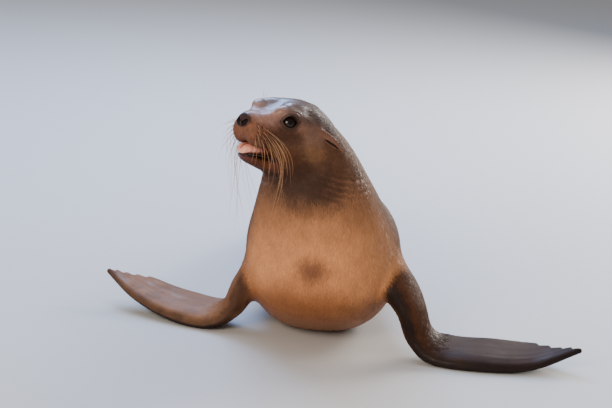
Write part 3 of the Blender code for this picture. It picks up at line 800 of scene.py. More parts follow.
# ------------------------------------------------------------------------------------------ meshing
class Mesher:
    """Meshes a field on a grid whose spacing follows the detail that each stretch needs."""

    BLOCK = 4
    BATCH = 20_000

    def __init__(self, animal: SeaLion, fineness: float) -> None:
        """Prepares the grid.

        Args:
            animal: the field.
            fineness: a factor on every spacing: 1 for the finished skin.
        """
        self.animal = animal
        self.axes = [self._ticks(spans, fineness) for spans in GRID]

    def _ticks(self, spans: Sequence[tuple[float, float]], fineness: float) -> Array:
        """Positions along one axis: each span has its own spacing, up to the next span's start."""
        ticks = []
        for (start, gap), (stop, _) in zip(spans[:-1], spans[1:]):
            count = max(2, round((stop - start) / (gap * fineness)))
            ticks.append(np.linspace(start, stop, count, endpoint=False))
        ticks = np.concatenate(ticks)
        spare = -len(ticks) % self.BLOCK
        last = ticks[-1] - ticks[-2]
        return np.concatenate([ticks, ticks[-1] + last * np.arange(1, spare + 1)])

    def _values(self) -> Array:
        """The field at every grid point: exact near the skin, and only its sign elsewhere."""
        size = self.BLOCK
        split = [a.reshape(-1, size) for a in self.axes]
        mids = [a.mean(1) for a in split]
        halves = [(a[:, -1] - a[:, 0]) / 2 + np.gradient(b)[::size] for a, b in zip(split, self.axes)]
        coarse = np.stack(np.meshgrid(*mids, indexing="ij"), -1).reshape(-1, 3)
        reach = np.sqrt(sum(h**2 for h in np.meshgrid(*halves, indexing="ij"))).reshape(-1)
        value = self.animal.flesh(coarse) + COAT_DEPTH
        head = self.animal.head.into(coarse)
        soft = np.where(np.linalg.norm(head - np.array([0.08, 0, 0]), axis=1) < 0.17, 0.012, 0.004)
        value = np.maximum(value, -coarse[:, 2])
        busy = np.abs(value) < reach * 1.25 + soft
        shape = [len(m) for m in mids]
        full = np.where(value < 0, -1.0, 1.0).astype(np.float32).reshape(shape)
        for k in range(3):
            full = np.repeat(full, size, k)
        blocks = np.stack(np.unravel_index(np.flatnonzero(busy), shape), 1)
        steps = np.arange(size)
        shifts = np.stack(np.meshgrid(steps, steps, steps, indexing="ij"), -1).reshape(-1, 3)
        LOG.info("grid %s, %d busy blocks of %d", full.shape, len(blocks), len(value))
        for start in range(0, len(blocks), self.BATCH):
            block = blocks[start : start + self.BATCH]
            cells = (block[:, None] * size + shifts[None]).reshape(-1, 3)
            points = np.stack([self.axes[n][cells[:, n]] for n in range(3)], 1)
            full[cells[:, 0], cells[:, 1], cells[:, 2]] = self.animal.field(points)
        return full

    def mesh(self) -> tuple[Array, Array]:
        """Points and quads of the skin: one point in each cell that the skin crosses."""
        full = self._values()
        shape = tuple(n - 1 for n in full.shape)
        corners = [(a, b, c) for a in (0, 1) for b in (0, 1) for c in (0, 1)]
        inner = (full < 0).astype(np.uint8)
        count = sum(inner[a : a + shape[0], b : b + shape[1], c : c + shape[2]] for a, b, c in corners)
        cells = np.stack(np.nonzero((count > 0) & (count < 8)), 1)
        values = {c: full[cells[:, 0] + c[0], cells[:, 1] + c[1], cells[:, 2] + c[2]] for c in corners}
        total, hits = np.zeros((len(cells), 3)), np.zeros(len(cells))
        for a in corners:
            for n in range(3):
                if a[n]:
                    continue
                b = tuple(v + (m == n) for m, v in enumerate(a))
                cross = (values[a] < 0) != (values[b] < 0)
                where = np.repeat(np.array(a, float)[None], len(cells), 0)
                where[:, n] = np.where(cross, values[a] / np.where(cross, values[a] - values[b], 1), 0)
                total += where * cross[:, None]
                hits += cross
        share = total / hits[:, None]
        moves = zip(self.axes, cells.T, share.T)
        points = np.stack([axis[cell] + part * np.diff(axis)[cell] for axis, cell, part in moves], 1)
        number = np.full(shape, -1, np.int32)
        number[tuple(cells.T)] = np.arange(len(cells))
        return points, self._quads(full < 0, number)

    @staticmethod
    def _quads(inside: Array, number: Array) -> Array:
        """A quad round each edge of the grid that the skin crosses, facing outward."""
        quads = []
        for n in range(3):
            m, o = (n + 1) % 3, (n + 2) % 3
            low = [slice(None)] * 3
            high = [slice(None)] * 3
            low[n], high[n] = slice(0, -1), slice(1, None)
            edge = np.stack(np.nonzero(inside[tuple(low)] != inside[tuple(high)]), 1)
            edge = edge[(edge[:, m] > 0) & (edge[:, o] > 0) & (edge[:, m] < inside.shape[m] - 1)]
            edge = edge[edge[:, o] < inside.shape[o] - 1]
            around = []
            for dm, do in ((1, 1), (0, 1), (0, 0), (1, 0)):
                cell = edge.copy()
                cell[:, m] -= dm
                cell[:, o] -= do
                around.append(number[tuple(cell.T)])
            quad = np.stack(around, 1)
            out = inside[tuple(edge.T)]
            quad[~out] = quad[~out][:, ::-1]
            quads.append(quad)
        quads = np.concatenate(quads)
        return quads[(quads >= 0).all(1)]


def read_points(mesh: bpy.types.Mesh) -> Array:
    """The mesh's points, as rows."""
    points = np.empty(len(mesh.vertices) * 3, np.float32)
    mesh.vertices.foreach_get("co", points)
    return points.reshape(-1, 3).astype(float)


def relax(points: Array, faces: Array, share: float) -> Array:
    """Moves each point towards the middle of its neighbours along the faces' edges."""
    ends = np.concatenate([np.stack(pair, 1) for pair in zip(faces.T, np.roll(faces, -1, 1).T)])
    weight = np.bincount(ends[:, 0], minlength=len(points)).astype(float)
    middle = np.stack([np.bincount(ends[:, 0], points[ends[:, 1], k], len(points)) for k in range(3)], 1)
    return points + share * (middle / np.maximum(weight, 1)[:, None] - points)


def plain_mesh(name: str, points: Array, faces: Array) -> bpy.types.Mesh:
    """A mesh of these points and faces, which all have as many corners."""
    mesh = bpy.data.meshes.new(name)
    count, corners = faces.shape
    mesh.vertices.add(len(points))
    mesh.vertices.foreach_set("co", np.ascontiguousarray(points, np.float32).ravel())
    mesh.loops.add(count * corners)
    mesh.loops.foreach_set("vertex_index", np.ascontiguousarray(faces, np.int32).ravel())
    mesh.polygons.add(count)
    mesh.polygons.foreach_set("loop_start", np.arange(count, dtype=np.int32) * corners)
    mesh.polygons.foreach_set("use_smooth", np.ones(count, bool))
    mesh.update(calc_edges=True)
    return mesh


def add_object(name: str, mesh: bpy.types.Mesh, look: bpy.types.Material) -> bpy.types.Object:
    """An object at the origin with that mesh and material, riding on the body."""
    mesh.name = name
    mesh.materials.clear()
    mesh.materials.append(look)
    made = bpy.data.objects.new(name, mesh)
    bpy.context.scene.collection.objects.link(made)
    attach(made, "root")
    LOG.info("%s: %d faces", name, len(mesh.polygons))
    return made


def build_skin(animal: SeaLion, look: bpy.types.Material) -> bpy.types.Object:
    """The one skin of the animal."""
    points, quads = Mesher(animal, 1.0).mesh()
    LOG.info("skin before thinning: %d points, %d quads", len(points), len(quads))
    for _ in range(2):
        points = relax(points, quads, 0.5)
        points = animal.settle(points, 1)
    mesh = plain_mesh("skin", points, quads)
    raw = bpy.data.objects.new("raw_skin", mesh)
    bpy.context.scene.collection.objects.link(raw)
    thin = raw.modifiers.new("thin", "DECIMATE")
    thin.ratio = min(1.0, SKIN_TRIANGLES / (2 * len(quads)))
    graph = bpy.context.evaluated_depsgraph_get()
    mesh = bpy.data.meshes.new_from_object(raw.evaluated_get(graph))
    bpy.data.objects.remove(raw)
    co = animal.settle(read_points(mesh), 2)
    mesh.vertices.foreach_set("co", co.astype(np.float32).ravel())
    normals = unit(animal.slope(co))
    mesh.update()
    mesh.polygons.foreach_set("use_smooth", np.ones(len(mesh.polygons), bool))
    mesh.normals_split_custom_set_from_vertices(normals.astype(np.float32))
    return add_object("skin", mesh, look)


# ------------------------------------------------------------------------------------------ colours
def srgb(red: float, green: float, blue: float) -> Array:
    """A display colour from 0 to 255 as a linear one."""
    value = np.array([red, green, blue]) / 255
    return np.where(value <= 0.04045, value / 12.92, ((value + 0.055) / 1.055) ** 2.4)


class Hue:
    """The colours of the animal, as linear ones."""

    BACK = srgb(92, 66, 52)
    FLANK = srgb(110, 78, 58)
    CHEST = srgb(216, 146, 94)
    CHEST_LOW = srgb(154, 98, 60)
    SMUDGE = srgb(104, 66, 50)
    BELLY = srgb(150, 104, 78)
    TEMPLE = srgb(134, 100, 84)
    # a greyer, paler tone for the upper face before the eyes: painted sheen
    BRIDGE = srgb(102, 80, 70)
    # a paler tone for the top of the muzzle: painted sheen
    SNOUT = srgb(142, 104, 90)
    JOWL = srgb(140, 102, 70)
    # a dark tone below the eyes: painted shade
    HOLLOW = srgb(62, 38, 27)
    JAW = srgb(84, 47, 32)
    THROAT = srgb(46, 30, 23)
    CROWN = srgb(86, 68, 62)
    FACE = srgb(92, 62, 45)
    CHEEK = srgb(98, 60, 38)
    PAD = srgb(112, 72, 52)
    NOSE = srgb(52, 32, 26)
    LIPS = srgb(40, 24, 22)
    MOUTH = srgb(92, 40, 34)
    RIM = srgb(46, 32, 28)
    EAR = srgb(122, 86, 70)
    ARM = srgb(84, 52, 32)
    FLIPPER = srgb(52, 29, 15)
    # paler copies of the flipper's and the arm's colours for the animal's right side, where the light falls:
    # painted light
    FLIPPER_DRY = srgb(138, 98, 68)
    ARM_DRY = srgb(124, 86, 62)
    FLIPPER_EDGE = srgb(34, 22, 18)
    SOLE = srgb(36, 26, 23)
    TONGUE = srgb(238, 158, 134)
    # a darker colour for the back of the tongue in the mouth: painted shade
    TONGUE_BACK = srgb(122, 56, 48)
    PUPIL = srgb(10, 8, 8)
    IRIS = srgb(36, 21, 14)
    IRIS_RIM = srgb(30, 20, 17)
    EYE_WHITE = srgb(92, 66, 56)
    WHISKER = srgb(190, 142, 98)
    WHISKER_ROOT = srgb(96, 54, 34)
    CLAW = srgb(54, 42, 36)


def wave(p: Array, scale: float, seed: int) -> Array:
    """Smooth, uneven variation from -1 to 1 with features about that many metres across."""
    rng = np.random.default_rng(seed)
    out = np.zeros(len(p))
    for _ in range(6):
        way = unit(rng.normal(size=3)) * math.tau / (scale * rng.uniform(0.7, 1.6))
        bend = unit(rng.normal(size=3)) * math.tau / (scale * rng.uniform(1.2, 2.2))
        out += np.sin(p @ way + 1.4 * np.sin(p @ bend + rng.uniform(0, 6)) + rng.uniform(0, 6))
    return out / 3.2


def mix(a: Array, b: Array, share: Array) -> Array:
    """Between two colours, or rows of them."""
    share = np.asarray(share)[:, None]
    return a * (1 - share) + b * share


@dataclass(frozen=True)
class Patch:
    """A patch of colour with a soft, uneven edge.

    Attributes:
        hue: its colour.
        strength: how much of it shows in its middle.
        centre: its place.
        radii: its size along each axis.
        fade: where it has gone and where it is full, in radii.
        ripple: how far its edge wanders, over which length, and the seed for it.
    """

    hue: Array
    strength: float
    centre: tuple[float, float, float]
    radii: tuple[float, float, float]
    fade: tuple[float, float]
    ripple: tuple[float, float, int] = (0.0, 1.0, 0)

    def over(self, tint: Array, q: Array, p: Array) -> Array:
        """The colours with the patch laid over them.

        Args:
            tint: the colours below.
            q: the points in the patch's own frame.
            p: the points in the model's frame, for the unevenness of the edge.
        """
        size, scale, seed = self.ripple
        far = np.linalg.norm((q - np.array(self.centre)) / np.array(self.radii), axis=1)
        far = far + size * wave(p, scale, seed)
        return mix(tint, self.hue, self.strength * smooth_step(*self.fade, far))


SMUDGE = Patch(Hue.SMUDGE, 0.80, (-0.044, -0.43, 0.200), (0.040, 0.12, 0.035), (1.40, 0.15), (0.14, 0.02, 5))
FACE_PATCHES = (
    Patch(Hue.CHEEK, 0.80, (0.075, 0, -0.050), (0.055, 1, 0.035), (1.3, 0.4)),
    Patch(Hue.TEMPLE, 0.85, (0.050, 0, 0.024), (0.040, 1, 0.026), (1.4, 0.3), (0.15, 0.03, 17)),
    Patch(Hue.JOWL, 0.55, (0.036, 0, -0.016), (0.028, 1, 0.026), (1.4, 0.2), (0.20, 0.02, 18)),
)
# painted shade below the eyes
HOLLOW = Patch(Hue.HOLLOW, 0.75, (0.104, 0, 0.004), (0.034, 1, 0.018), (1.4, 0.3))
# ---- x and z of the mouth's edges in the skull's frame and the jaw's, and the half width of its lining
UPPER_EDGE = ((0.03, 0.06, 0.10, 0.14, 0.17, 0.19), (-0.042, -0.046, -0.044, -0.041, -0.034, -0.018))
LOWER_EDGE = ((0.03, 0.08, 0.11, 0.14, 0.165), (-0.040, -0.0385, -0.0365, -0.0335, -0.034))
LINING = ((0.06, 0.10, 0.15, 0.18), (0.030, 0.028, 0.021, 0.014))


@dataclass
class Surface:
    """What the skin is like at some points: the colours, the finish and the ways that the fur lies."""

    tint: Array
    wet: Array
    bare: Array
    strands: Array
    lie: Array
    mouth: Array
    plain: Array
    steep: Array

    def pick(self, chosen: Array) -> "Surface":
        """The same for some of the points."""
        return Surface(*(value[chosen] for value in vars(self).values()))


@dataclass
class Spots:
    """Points of the skin with their normals, and their places in the head's, jaw's and trunk's frames."""

    p: Array
    normal: Array
    q: Array
    j: Array
    t: Array
    v: Array
    head: Array


@dataclass
class LimbPart:
    """Where points lie on the nearest limb.

    Attributes:
        much: 1 on a limb, falling to 0 over its join to the trunk.
        share: the share of the limb's length.
        across: the place across it, from -1 to 1.
        above: the height above its middle, in metres.
        along: the way along it, in metres.
        ahead: the direction of its tip.
    """

    much: Array
    share: Array
    across: Array
    above: Array
    along: Array
    ahead: Array


class Markings:
    """The markings, the finish and the lie of the coat, which the skin and the tufts share."""

    def __init__(self, animal: SeaLion) -> None:
        self.animal = animal

    @staticmethod
    def head_share(q: Array) -> Array:
        """1 on the head and 0 on the neck."""
        return smooth_step(-0.070, -0.010, q[:, 0]) * smooth_step(-0.13, -0.07, q[:, 2])

    def limb_part(self, p: Array) -> LimbPart:
        """Where the points lie on the nearest limb."""
        part = LimbPart(*np.zeros((5, len(p))), np.zeros((len(p), 3)))
        for limb, near in touching(self.animal.limbs, p):
            out, t, a, n = limb.distance(p[near])
            trunk = self.animal.trunk.distance(p[near])[0]
            start = limb.shape.start
            own = smooth_step(-0.014, 0.020, trunk - out) * smooth_step(start, start + 0.08, t)
            take = own > part.much[near]
            index = near[take]
            part.much[index], part.share[index], part.across[index] = own[take], t[take], a[take]
            part.above[index], part.along[index] = n[take], t[take] * limb.length
            part.ahead[index] = limb.track.at(t[take])[:, 3:6]
        return part

    def read(self, p: Array, normal: Array) -> Surface:
        """The surface at points of the skin.

        Args:
            p: points on the skin.
            normal: the skin's normals there.
        """
        animal = self.animal
        _, t, _, v = animal.trunk.distance(p)
        q = animal.head.into(p)
        at = Spots(p, normal, q, animal.head.into_jaw(q), t, v, self.head_share(q))
        limb = self.limb_part(p)
        pad = animal.nose_pad(q)
        nostril = smooth_step(0.0014, -0.0004, animal.nostrils(q))
        tint = mix(self._trunk(at), self._face(at), at.head)
        tint = self._muzzle(self._throat(tint, at), at)
        # the nostrils are painted almost black: painted shade in their depth
        tint = mix(mix(tint, Hue.NOSE, pad), Hue.NOSE * 0.12, nostril)
        tint, inside = self._mouth(self._eyes_and_ears(tint, at), at)
        tint = mix(tint, self._limb(at, limb), limb.much)
        tint = tint * (1 + CREASE_TINT * animal.creases(p))[:, None]
        shade = 1 + 0.07 * wave(p, 0.045, 9) + 0.05 * wave(p, 0.014, 10)
        shade = shade + 0.11 * at.head * wave(p, 0.011, 16)
        tint = np.clip(tint * shade[:, None], 0.002, 0.95)
        bare = np.clip(np.maximum(animal.bareness(p, q), np.maximum(inside, pad)), 0, 1)
        wet = np.maximum(self._wet(at, limb), np.maximum(0.6 * inside, 0.45 * pad))
        wet = np.clip(wet, 0, 1) * (1 - nostril)
        lie = self._lie(at, limb)
        steep = np.abs((unit(lie) * normal).sum(1))
        lie = unit(lie - normal * (lie * normal).sum(1, keepdims=True))
        plain = 1 - np.clip(5 * np.minimum(np.abs(at.head - 0.5), np.abs(limb.much - 0.5)), 0, 1)
        return Surface(tint, wet, bare, self._strands(at, limb), lie, inside, plain, steep)

    def _trunk(self, at: Spots) -> Array:
        """Brown above, tan on the front of the chest, darker below."""
        p = at.p
        soft = 0.10 * wave(p, 0.16, 1)
        tint = mix(Hue.FLANK, Hue.BACK, smooth_step(-0.1, 0.8, at.v + soft))
        front = smooth_step(0.16, -0.66, at.v + soft) * smooth_step(0.66, 0.40, at.t + 0.3 * soft)
        front = front * smooth_step(0.200, 0.365, at.t + 0.08 * soft - 0.25 * np.maximum(-0.06 - p[:, 0], 0))
        low = smooth_step(0.20, 0.09, p[:, 2] + 0.02 * wave(p, 0.12, 2))
        tint = mix(tint, mix(Hue.CHEST, Hue.CHEST_LOW, low), front)
        tint = mix(tint, Hue.BELLY, smooth_step(0.105, 0.03, p[:, 2]) * smooth_step(0.1, -0.4, at.v))
        return SMUDGE.over(tint, p, p)

    def _face(self, at: Spots) -> Array:
        """The crown, the cheeks, the temples, the bridge of the nose with a painted sheen, the jaw, and
        painted shade below the eyes.
        """
        p, (x, _, z), under = at.p, at.q.T, at.j[:, 2]
        face = mix(Hue.FACE, Hue.CROWN, smooth_step(0.030, 0.058, z + 0.004 * wave(p, 0.03, 6)))
        for patch in FACE_PATCHES:
            face = patch.over(face, at.q, p)
        # the upper face before the eyes is painted greyer and paler: a painted sheen
        face = mix(face, Hue.BRIDGE, 0.9 * smooth_step(0.000, 0.030, z) * smooth_step(0.085, 0.115, x))
        # the hollow below each eye is painted darker: painted shade
        face = HOLLOW.over(face, at.q, p)
        face = mix(face, Hue.JAW, smooth_step(0.000, -0.012, under + 0.036) * smooth_step(0.04, 0.09, x))
        return mix(face, Hue.THROAT, smooth_step(0.004, -0.020, under + 0.060) * smooth_step(0.03, 0.07, x))

    def _throat(self, tint: Array, at: Spots) -> Array:
        """The dark patch below the jaw."""
        far = np.hypot((at.p[:, 0] + 0.070) / 0.066, (at.p[:, 2] - 0.388) / 0.054)
        far = far + 0.20 * wave(at.p, 0.045, 4)
        front = smooth_step(0.5, -0.2, at.v) * smooth_step(0.110, 0.085, at.q[:, 0])
        return mix(tint, Hue.THROAT, 0.80 * smooth_step(1.55, 0.30, far) * front)

    def _muzzle(self, tint: Array, at: Spots) -> Array:
        """The snout and the whisker pads, with a painted sheen on the snout's top and a dark dot at each
        whisker's root.
        """
        x, _, z = at.q.T
        muzzle = smooth_step(0.112, 0.138, x) * smooth_step(-0.052, -0.030, z)
        # the top of the muzzle is painted paler: a painted sheen
        snout = mix(Hue.PAD, Hue.SNOUT, smooth_step(0.0, 0.018, z) * smooth_step(0.185, 0.165, x))
        tint = mix(tint, snout * (1 + 0.14 * wave(at.p, 0.009, 19))[:, None], muzzle)
        back, down = PAD_START[0] - x, PAD_START[1] - z
        rows = (down - 0.13 * back) / PAD_STEP[1]
        columns = (back - 0.25 * down) / PAD_STEP[0]
        pit = np.hypot((rows - np.round(rows)) * PAD_STEP[1], (columns - np.round(columns)) * PAD_STEP[0])
        on_pad = (rows > -0.5) & (rows < PAD_ROWS - 0.5) & (columns > -0.5) & (columns < PAD_COLUMNS - 0.5)
        return mix(tint, Hue.LIPS, 0.85 * smooth_step(0.0030, 0.0012, pit) * on_pad * muzzle)

    def _eyes_and_ears(self, tint: Array, at: Spots) -> Array:
        """The dark rims of the lids and a darker ring round them, with painted shade in the troughs of their
        folds, and the ears, with painted shade in their slits.
        """
        for eye in self.animal.eyes:
            rim, ahead = eye.opening(at.q)
            close = smooth_step(0.0105, 0.0005, rim) * (ahead > 0)
            tint = mix(tint, Hue.RIM, 0.70 * smooth_step(0.0024, 0.0006, rim) * (ahead > 0))
            # a darker ring round the eye, deeper in the troughs of the lids' folds: painted shade in the
            # folds
            tint = mix(tint, Hue.RIM, (0.30 + 0.20 * (1 - eye.fold(rim))) * close)
        for side, ear in self.animal.ears.items():
            far = chain(at.q, ear, self.animal.ear_widths)
            tint = mix(tint, Hue.EAR, smooth_step(0.0030, -0.0005, far))
            # the slit below the ear is painted dark: painted shade in the slit
            tint = mix(tint, Hue.RIM * 0.6, smooth_step(0.0014, 0.0000, self.animal.ear_slit(at.q, side)))
        return tint

    def _mouth(self, tint: Array, at: Spots) -> tuple[Array, Array]:
        """The dark lips round a red-brown lining, and how much each point is inside the mouth."""
        x, side, z = at.q[:, 0], np.abs(at.q[:, 1]), at.q[:, 2]
        upper = z - np.interp(x, *UPPER_EDGE)
        lower = at.j[:, 2] - np.interp(at.j[:, 0], *LOWER_EDGE)
        faces_down = smooth_step(0.25, -0.35, at.normal @ self.animal.head.axes[2])
        faces_up = smooth_step(-0.1, 0.5, at.normal[:, 2])
        inside = np.maximum(
            smooth_step(0.004, -0.004, upper) * faces_down, smooth_step(-0.004, 0.003, lower) * faces_up
        )
        past = side - np.interp(x, *LINING)
        inside = inside * smooth_step(0.056, 0.066, x) * smooth_step(0.004, -0.002, past)
        inside = inside * (z < -0.012) * (lower > -0.010)
        tint = mix(tint, mix(Hue.LIPS, Hue.MOUTH, smooth_step(0.030, 0.018, side)), inside)
        edge = smooth_step(0.0085, 0.0030, np.abs(lower)) * smooth_step(0.082, 0.105, at.j[:, 0])
        return mix(tint, Hue.LIPS, edge * (side < 0.045) * (z < -0.02)), inside

    def _limb(self, at: Spots, limb: LimbPart) -> Array:
        """The arms and the bare flippers: darker on the animal's left as painted shade, and paler on its
        right, the side the light falls on, as painted light.
        """
        share, across = limb.share, limb.across
        # dry is 1 on the animal's right side, whose flippers and arms are painted paler, with softer dark
        # edges, as painted light; the left keeps the darker colours as painted shade
        dry = smooth_step(-0.10, -0.21, at.p[:, 0])
        arm = mix(Hue.ARM, Hue.ARM_DRY, dry)
        tint = mix(arm, mix(Hue.FLIPPER, Hue.FLIPPER_DRY, dry), smooth_step(0.38, 0.56, share))
        blotch = smooth_step(-0.1, 0.8, wave(at.p, 0.055, 12) + 0.5 * wave(at.p, 0.016, 13))
        tint = mix(tint, tint * 0.58, 0.55 * blotch * smooth_step(0.45, 0.60, share))
        edge = smooth_step(0.62, 0.97, across + 0.06 * wave(at.p, 0.05, 8))
        tint = mix(tint, Hue.FLIPPER_EDGE, (1 - 0.35 * dry) * edge)
        tint = mix(tint, Hue.FLIPPER_EDGE, (0.7 - 0.5 * dry) * smooth_step(0.88, 0.98, share))
        return mix(tint, Hue.SOLE, smooth_step(0.1, -0.5, at.normal[:, 2]) * smooth_step(0.4, 0.55, share))

    def _wet(self, at: Spots, limb: LimbPart) -> Array:
        """Where a film of water lies: on the crown, the bridge, the back and the flippers, and low down."""
        p, (x, _, z) = at.p, at.q.T
        wet = np.maximum(0.10 + 0.08 * wave(p, 0.20, 11), 0.6 * smooth_step(0.10, 0.02, p[:, 2]))
        rear = 0.024 * smooth_step(0.09, 0.03, x)
        crown = smooth_step(0.030, 0.055, z - rear + 0.004 * wave(p, 0.02, 15))
        crown = crown + 0.7 * smooth_step(0.115, 0.145, x) * smooth_step(-0.004, 0.016, z)
        front = 0.06 + 0.94 * smooth_step(0.040, 0.085, x)
        wet = np.maximum(wet, np.minimum(crown, 1) * at.head * front)
        wet = np.maximum(wet, 0.12 * smooth_step(0.1, 0.8, at.v) * (1 - at.head))
        film = smooth_step(0.2, 1.0, wave(p, 0.07, 14) + 0.6 * smooth_step(0.2, -0.8, limb.across))
        wet = wet * (1 - 0.8 * limb.much)
        return np.maximum(wet, (0.02 + 0.30 * film) * limb.much * smooth_step(0.3, 0.5, limb.share))

    def _lie(self, at: Spots, limb: LimbPart) -> Array:
        """The way the fur lies: from the nose back, down the neck to the tail, and out along the limbs."""
        lie = self.animal.trunk.lie(at.t)
        back = unit(self.animal.head.turn(np.array([-1.0, 0.0, -0.25])))
        lie = lie * (1 - at.head[:, None]) + back * at.head[:, None]
        return lie * (1 - limb.much[:, None]) + limb.ahead * limb.much[:, None]

    def _strands(self, at: Spots, limb: LimbPart) -> Array:
        """Places for the grain: two across the fur and one along it, with each part of the body apart."""
        x, y, z = at.q.T
        row = self.animal.trunk.track.at(at.t)
        strands = np.stack([at.p[:, 0] - row[:, 0], at.v * row[:, 4], at.t * self.animal.trunk.length], 1)
        on_head, on_limb = at.head > 0.5, limb.much > 0.5
        strands[on_head] = np.stack([y + 3, z, -x], 1)[on_head]
        strands[on_limb] = np.stack([limb.across * 0.06 + 6, limb.above, limb.along], 1)[on_limb]
        return strands


def paint(mesh: bpy.types.Mesh, tint: Array, finish: Array, strands: Array) -> None:
    """Stores on the mesh's points their colours, finish (wet, bare, plain) and places for the grain."""
    layer = mesh.color_attributes.new("tint", "FLOAT_COLOR", "POINT")
    opaque = np.concatenate([tint, np.ones((len(tint), 1))], 1)
    layer.data.foreach_set("color", opaque.astype(np.float32).ravel())
    for name, rows in (("finish", finish), ("strands", strands)):
        layer = mesh.attributes.new(name, "FLOAT_VECTOR", "POINT")
        layer.data.foreach_set("vector", rows.astype(np.float32).ravel())


# ------------------------------------------------------------------------------------------ materials
@dataclass(frozen=True)
class Finish:
    """How a surface takes light and how rough it feels.

    Attributes:
        rough: the roughness where it is dry.
        wet_rough: the roughness where it is wet.
        gloss: the strength of the film of water over it, where it is wet.
        fine: the strands or pores across one metre.
        relief: the height of that grain, in metres.
        mottle: how far the grain lightens and darkens the colour.
        film_rough: the roughness of the film of water.
        shine: how much the surface itself reflects.
    """

    rough: float
    wet_rough: float
    gloss: float
    fine: float
    relief: float
    mottle: float
    film_rough: float = 0.20
    shine: float = 0.35


FUR = Finish(0.62, 0.38, 0.75, 420.0, 0.0007, 0.24, shine=0.14)
BARE = Finish(0.60, 0.40, 0.75, 260.0, 0.0009, 0.18)
TUFT = Finish(0.62, 0.44, 0.30, 700.0, 0.0002, 0.16, shine=0.12)
MOIST = Finish(0.38, 0.24, 0.70, 520.0, 0.0005, 0.18)
HORN = Finish(0.42, 0.34, 0.25, 300.0, 0.0001, 0.20)
HAIR = Finish(0.45, 0.40, 0.15, 200.0, 0.00002, 0.15)
EYE_FILM = Finish(0.10, 0.08, 0.10, 900.0, 0.00001, 0.05, 0.03, 0.30)
WATER_IOR = 1.33
WET_AND_BARE = (1.0, 1.0, 0.0)  # the finish of the eyes and the tongue


class Tree:
    """A material's nodes, with short ways to add and join them."""

    def __init__(self, tree: bpy.types.NodeTree) -> None:
        self.tree = tree
        self.column = 0

    def add(self, kind: str, inputs: dict | None = None, **settings: object) -> bpy.types.Node:
        """Adds a node.

        Args:
            kind: the node's type, without the ShaderNode in front.
            inputs: a value for each named input, or another node's output to join to it.
            settings: the node's own settings.
        """
        node = self.tree.nodes.new(f"ShaderNode{kind}")
        self.column += 1
        node.location = (self.column * 190 - 2600, -(self.column % 4) * 170)
        for name, value in settings.items():
            setattr(node, name, value)
        for name, value in (inputs or {}).items():
            self.put(node, name, value)
        return node

    def put(self, node: bpy.types.Node, name: str | int, value: object) -> None:
        """Sets or joins one input of a node."""
        if isinstance(value, bpy.types.NodeSocket):
            self.tree.links.new(value, node.inputs[name])
        else:
            node.inputs[name].default_value = value

    def maths(self, operation: str, a: object, b: object) -> bpy.types.NodeSocket:
        """One sum of two numbers."""
        return self.add("Math", {0: a, 1: b}, operation=operation).outputs[0]

    def attribute(self, name: str) -> bpy.types.Node:
        """A node that reads one of the mesh's attributes."""
        return self.add("Attribute", attribute_name=name)


def grain_group() -> bpy.types.NodeTree:
    """Strands or pores: a long-grained noise that shades the colour and raises and roughens the surface."""
    group = bpy.data.node_groups.new("strand_grain", "ShaderNodeTree")
    face = group.interface
    face.new_socket("Place", in_out="INPUT", socket_type="NodeSocketVector")
    face.new_socket("Tint", in_out="INPUT", socket_type="NodeSocketColor")
    numbers = {"Fineness": 400.0, "Mottle": 0.2, "Wet": 1.0}
    numbers |= {"Dry Roughness": 0.6, "Wet Roughness": 0.4, "Film": 0.5}
    for name, value in numbers.items():
        face.new_socket(name, in_out="INPUT", socket_type="NodeSocketFloat").default_value = value
    face.new_socket("Colour", in_out="OUTPUT", socket_type="NodeSocketColor")
    for name in ("Height", "Roughness", "Gloss"):
        face.new_socket(name, in_out="OUTPUT", socket_type="NodeSocketFloat")
    tree = Tree(group)
    given = group.nodes.new("NodeGroupInput").outputs
    made = group.nodes.new("NodeGroupOutput")
    drawn_out = {0: given["Place"], 1: (1.0, 1.0, 0.14)}
    place_at = tree.add("VectorMath", drawn_out, operation="MULTIPLY").outputs[0]
    noise = {"Vector": place_at, "Scale": given["Fineness"], "Detail": 3.0, "Roughness": 0.55}
    strands = tree.add("TexNoise", noise).outputs["Fac"]
    noise = {"Vector": place_at, "Scale": tree.maths("MULTIPLY", given["Fineness"], 0.16), "Detail": 2.0}
    broad = tree.add("TexNoise", noise).outputs["Fac"]
    both = tree.maths("ADD", tree.maths("MULTIPLY", strands, 0.6), tree.maths("MULTIPLY", broad, 0.4))
    share = tree.maths("MULTIPLY", tree.maths("SUBTRACT", both, 0.5), 2.2)
    doubled = tree.maths("MULTIPLY", given["Mottle"], 2.0)
    gain = tree.maths("ADD", 1.0, tree.maths("MULTIPLY", share, doubled))
    shaded = tree.add("VectorMath", {0: given["Tint"]}, operation="SCALE")
    tree.put(shaded, "Scale", gain)
    rough = {"Value": given["Wet"], "To Min": given["Dry Roughness"], "To Max": given["Wet Roughness"]}
    uneven = tree.maths("ADD", tree.add("MapRange", rough).outputs[0], tree.maths("MULTIPLY", share, 0.16))
    tree.put(made, "Colour", shaded.outputs[0])
    tree.put(made, "Height", both)
    tree.put(made, "Roughness", uneven)
    tree.put(made, "Gloss", tree.maths("MULTIPLY", given["Wet"], given["Film"]))
    return group


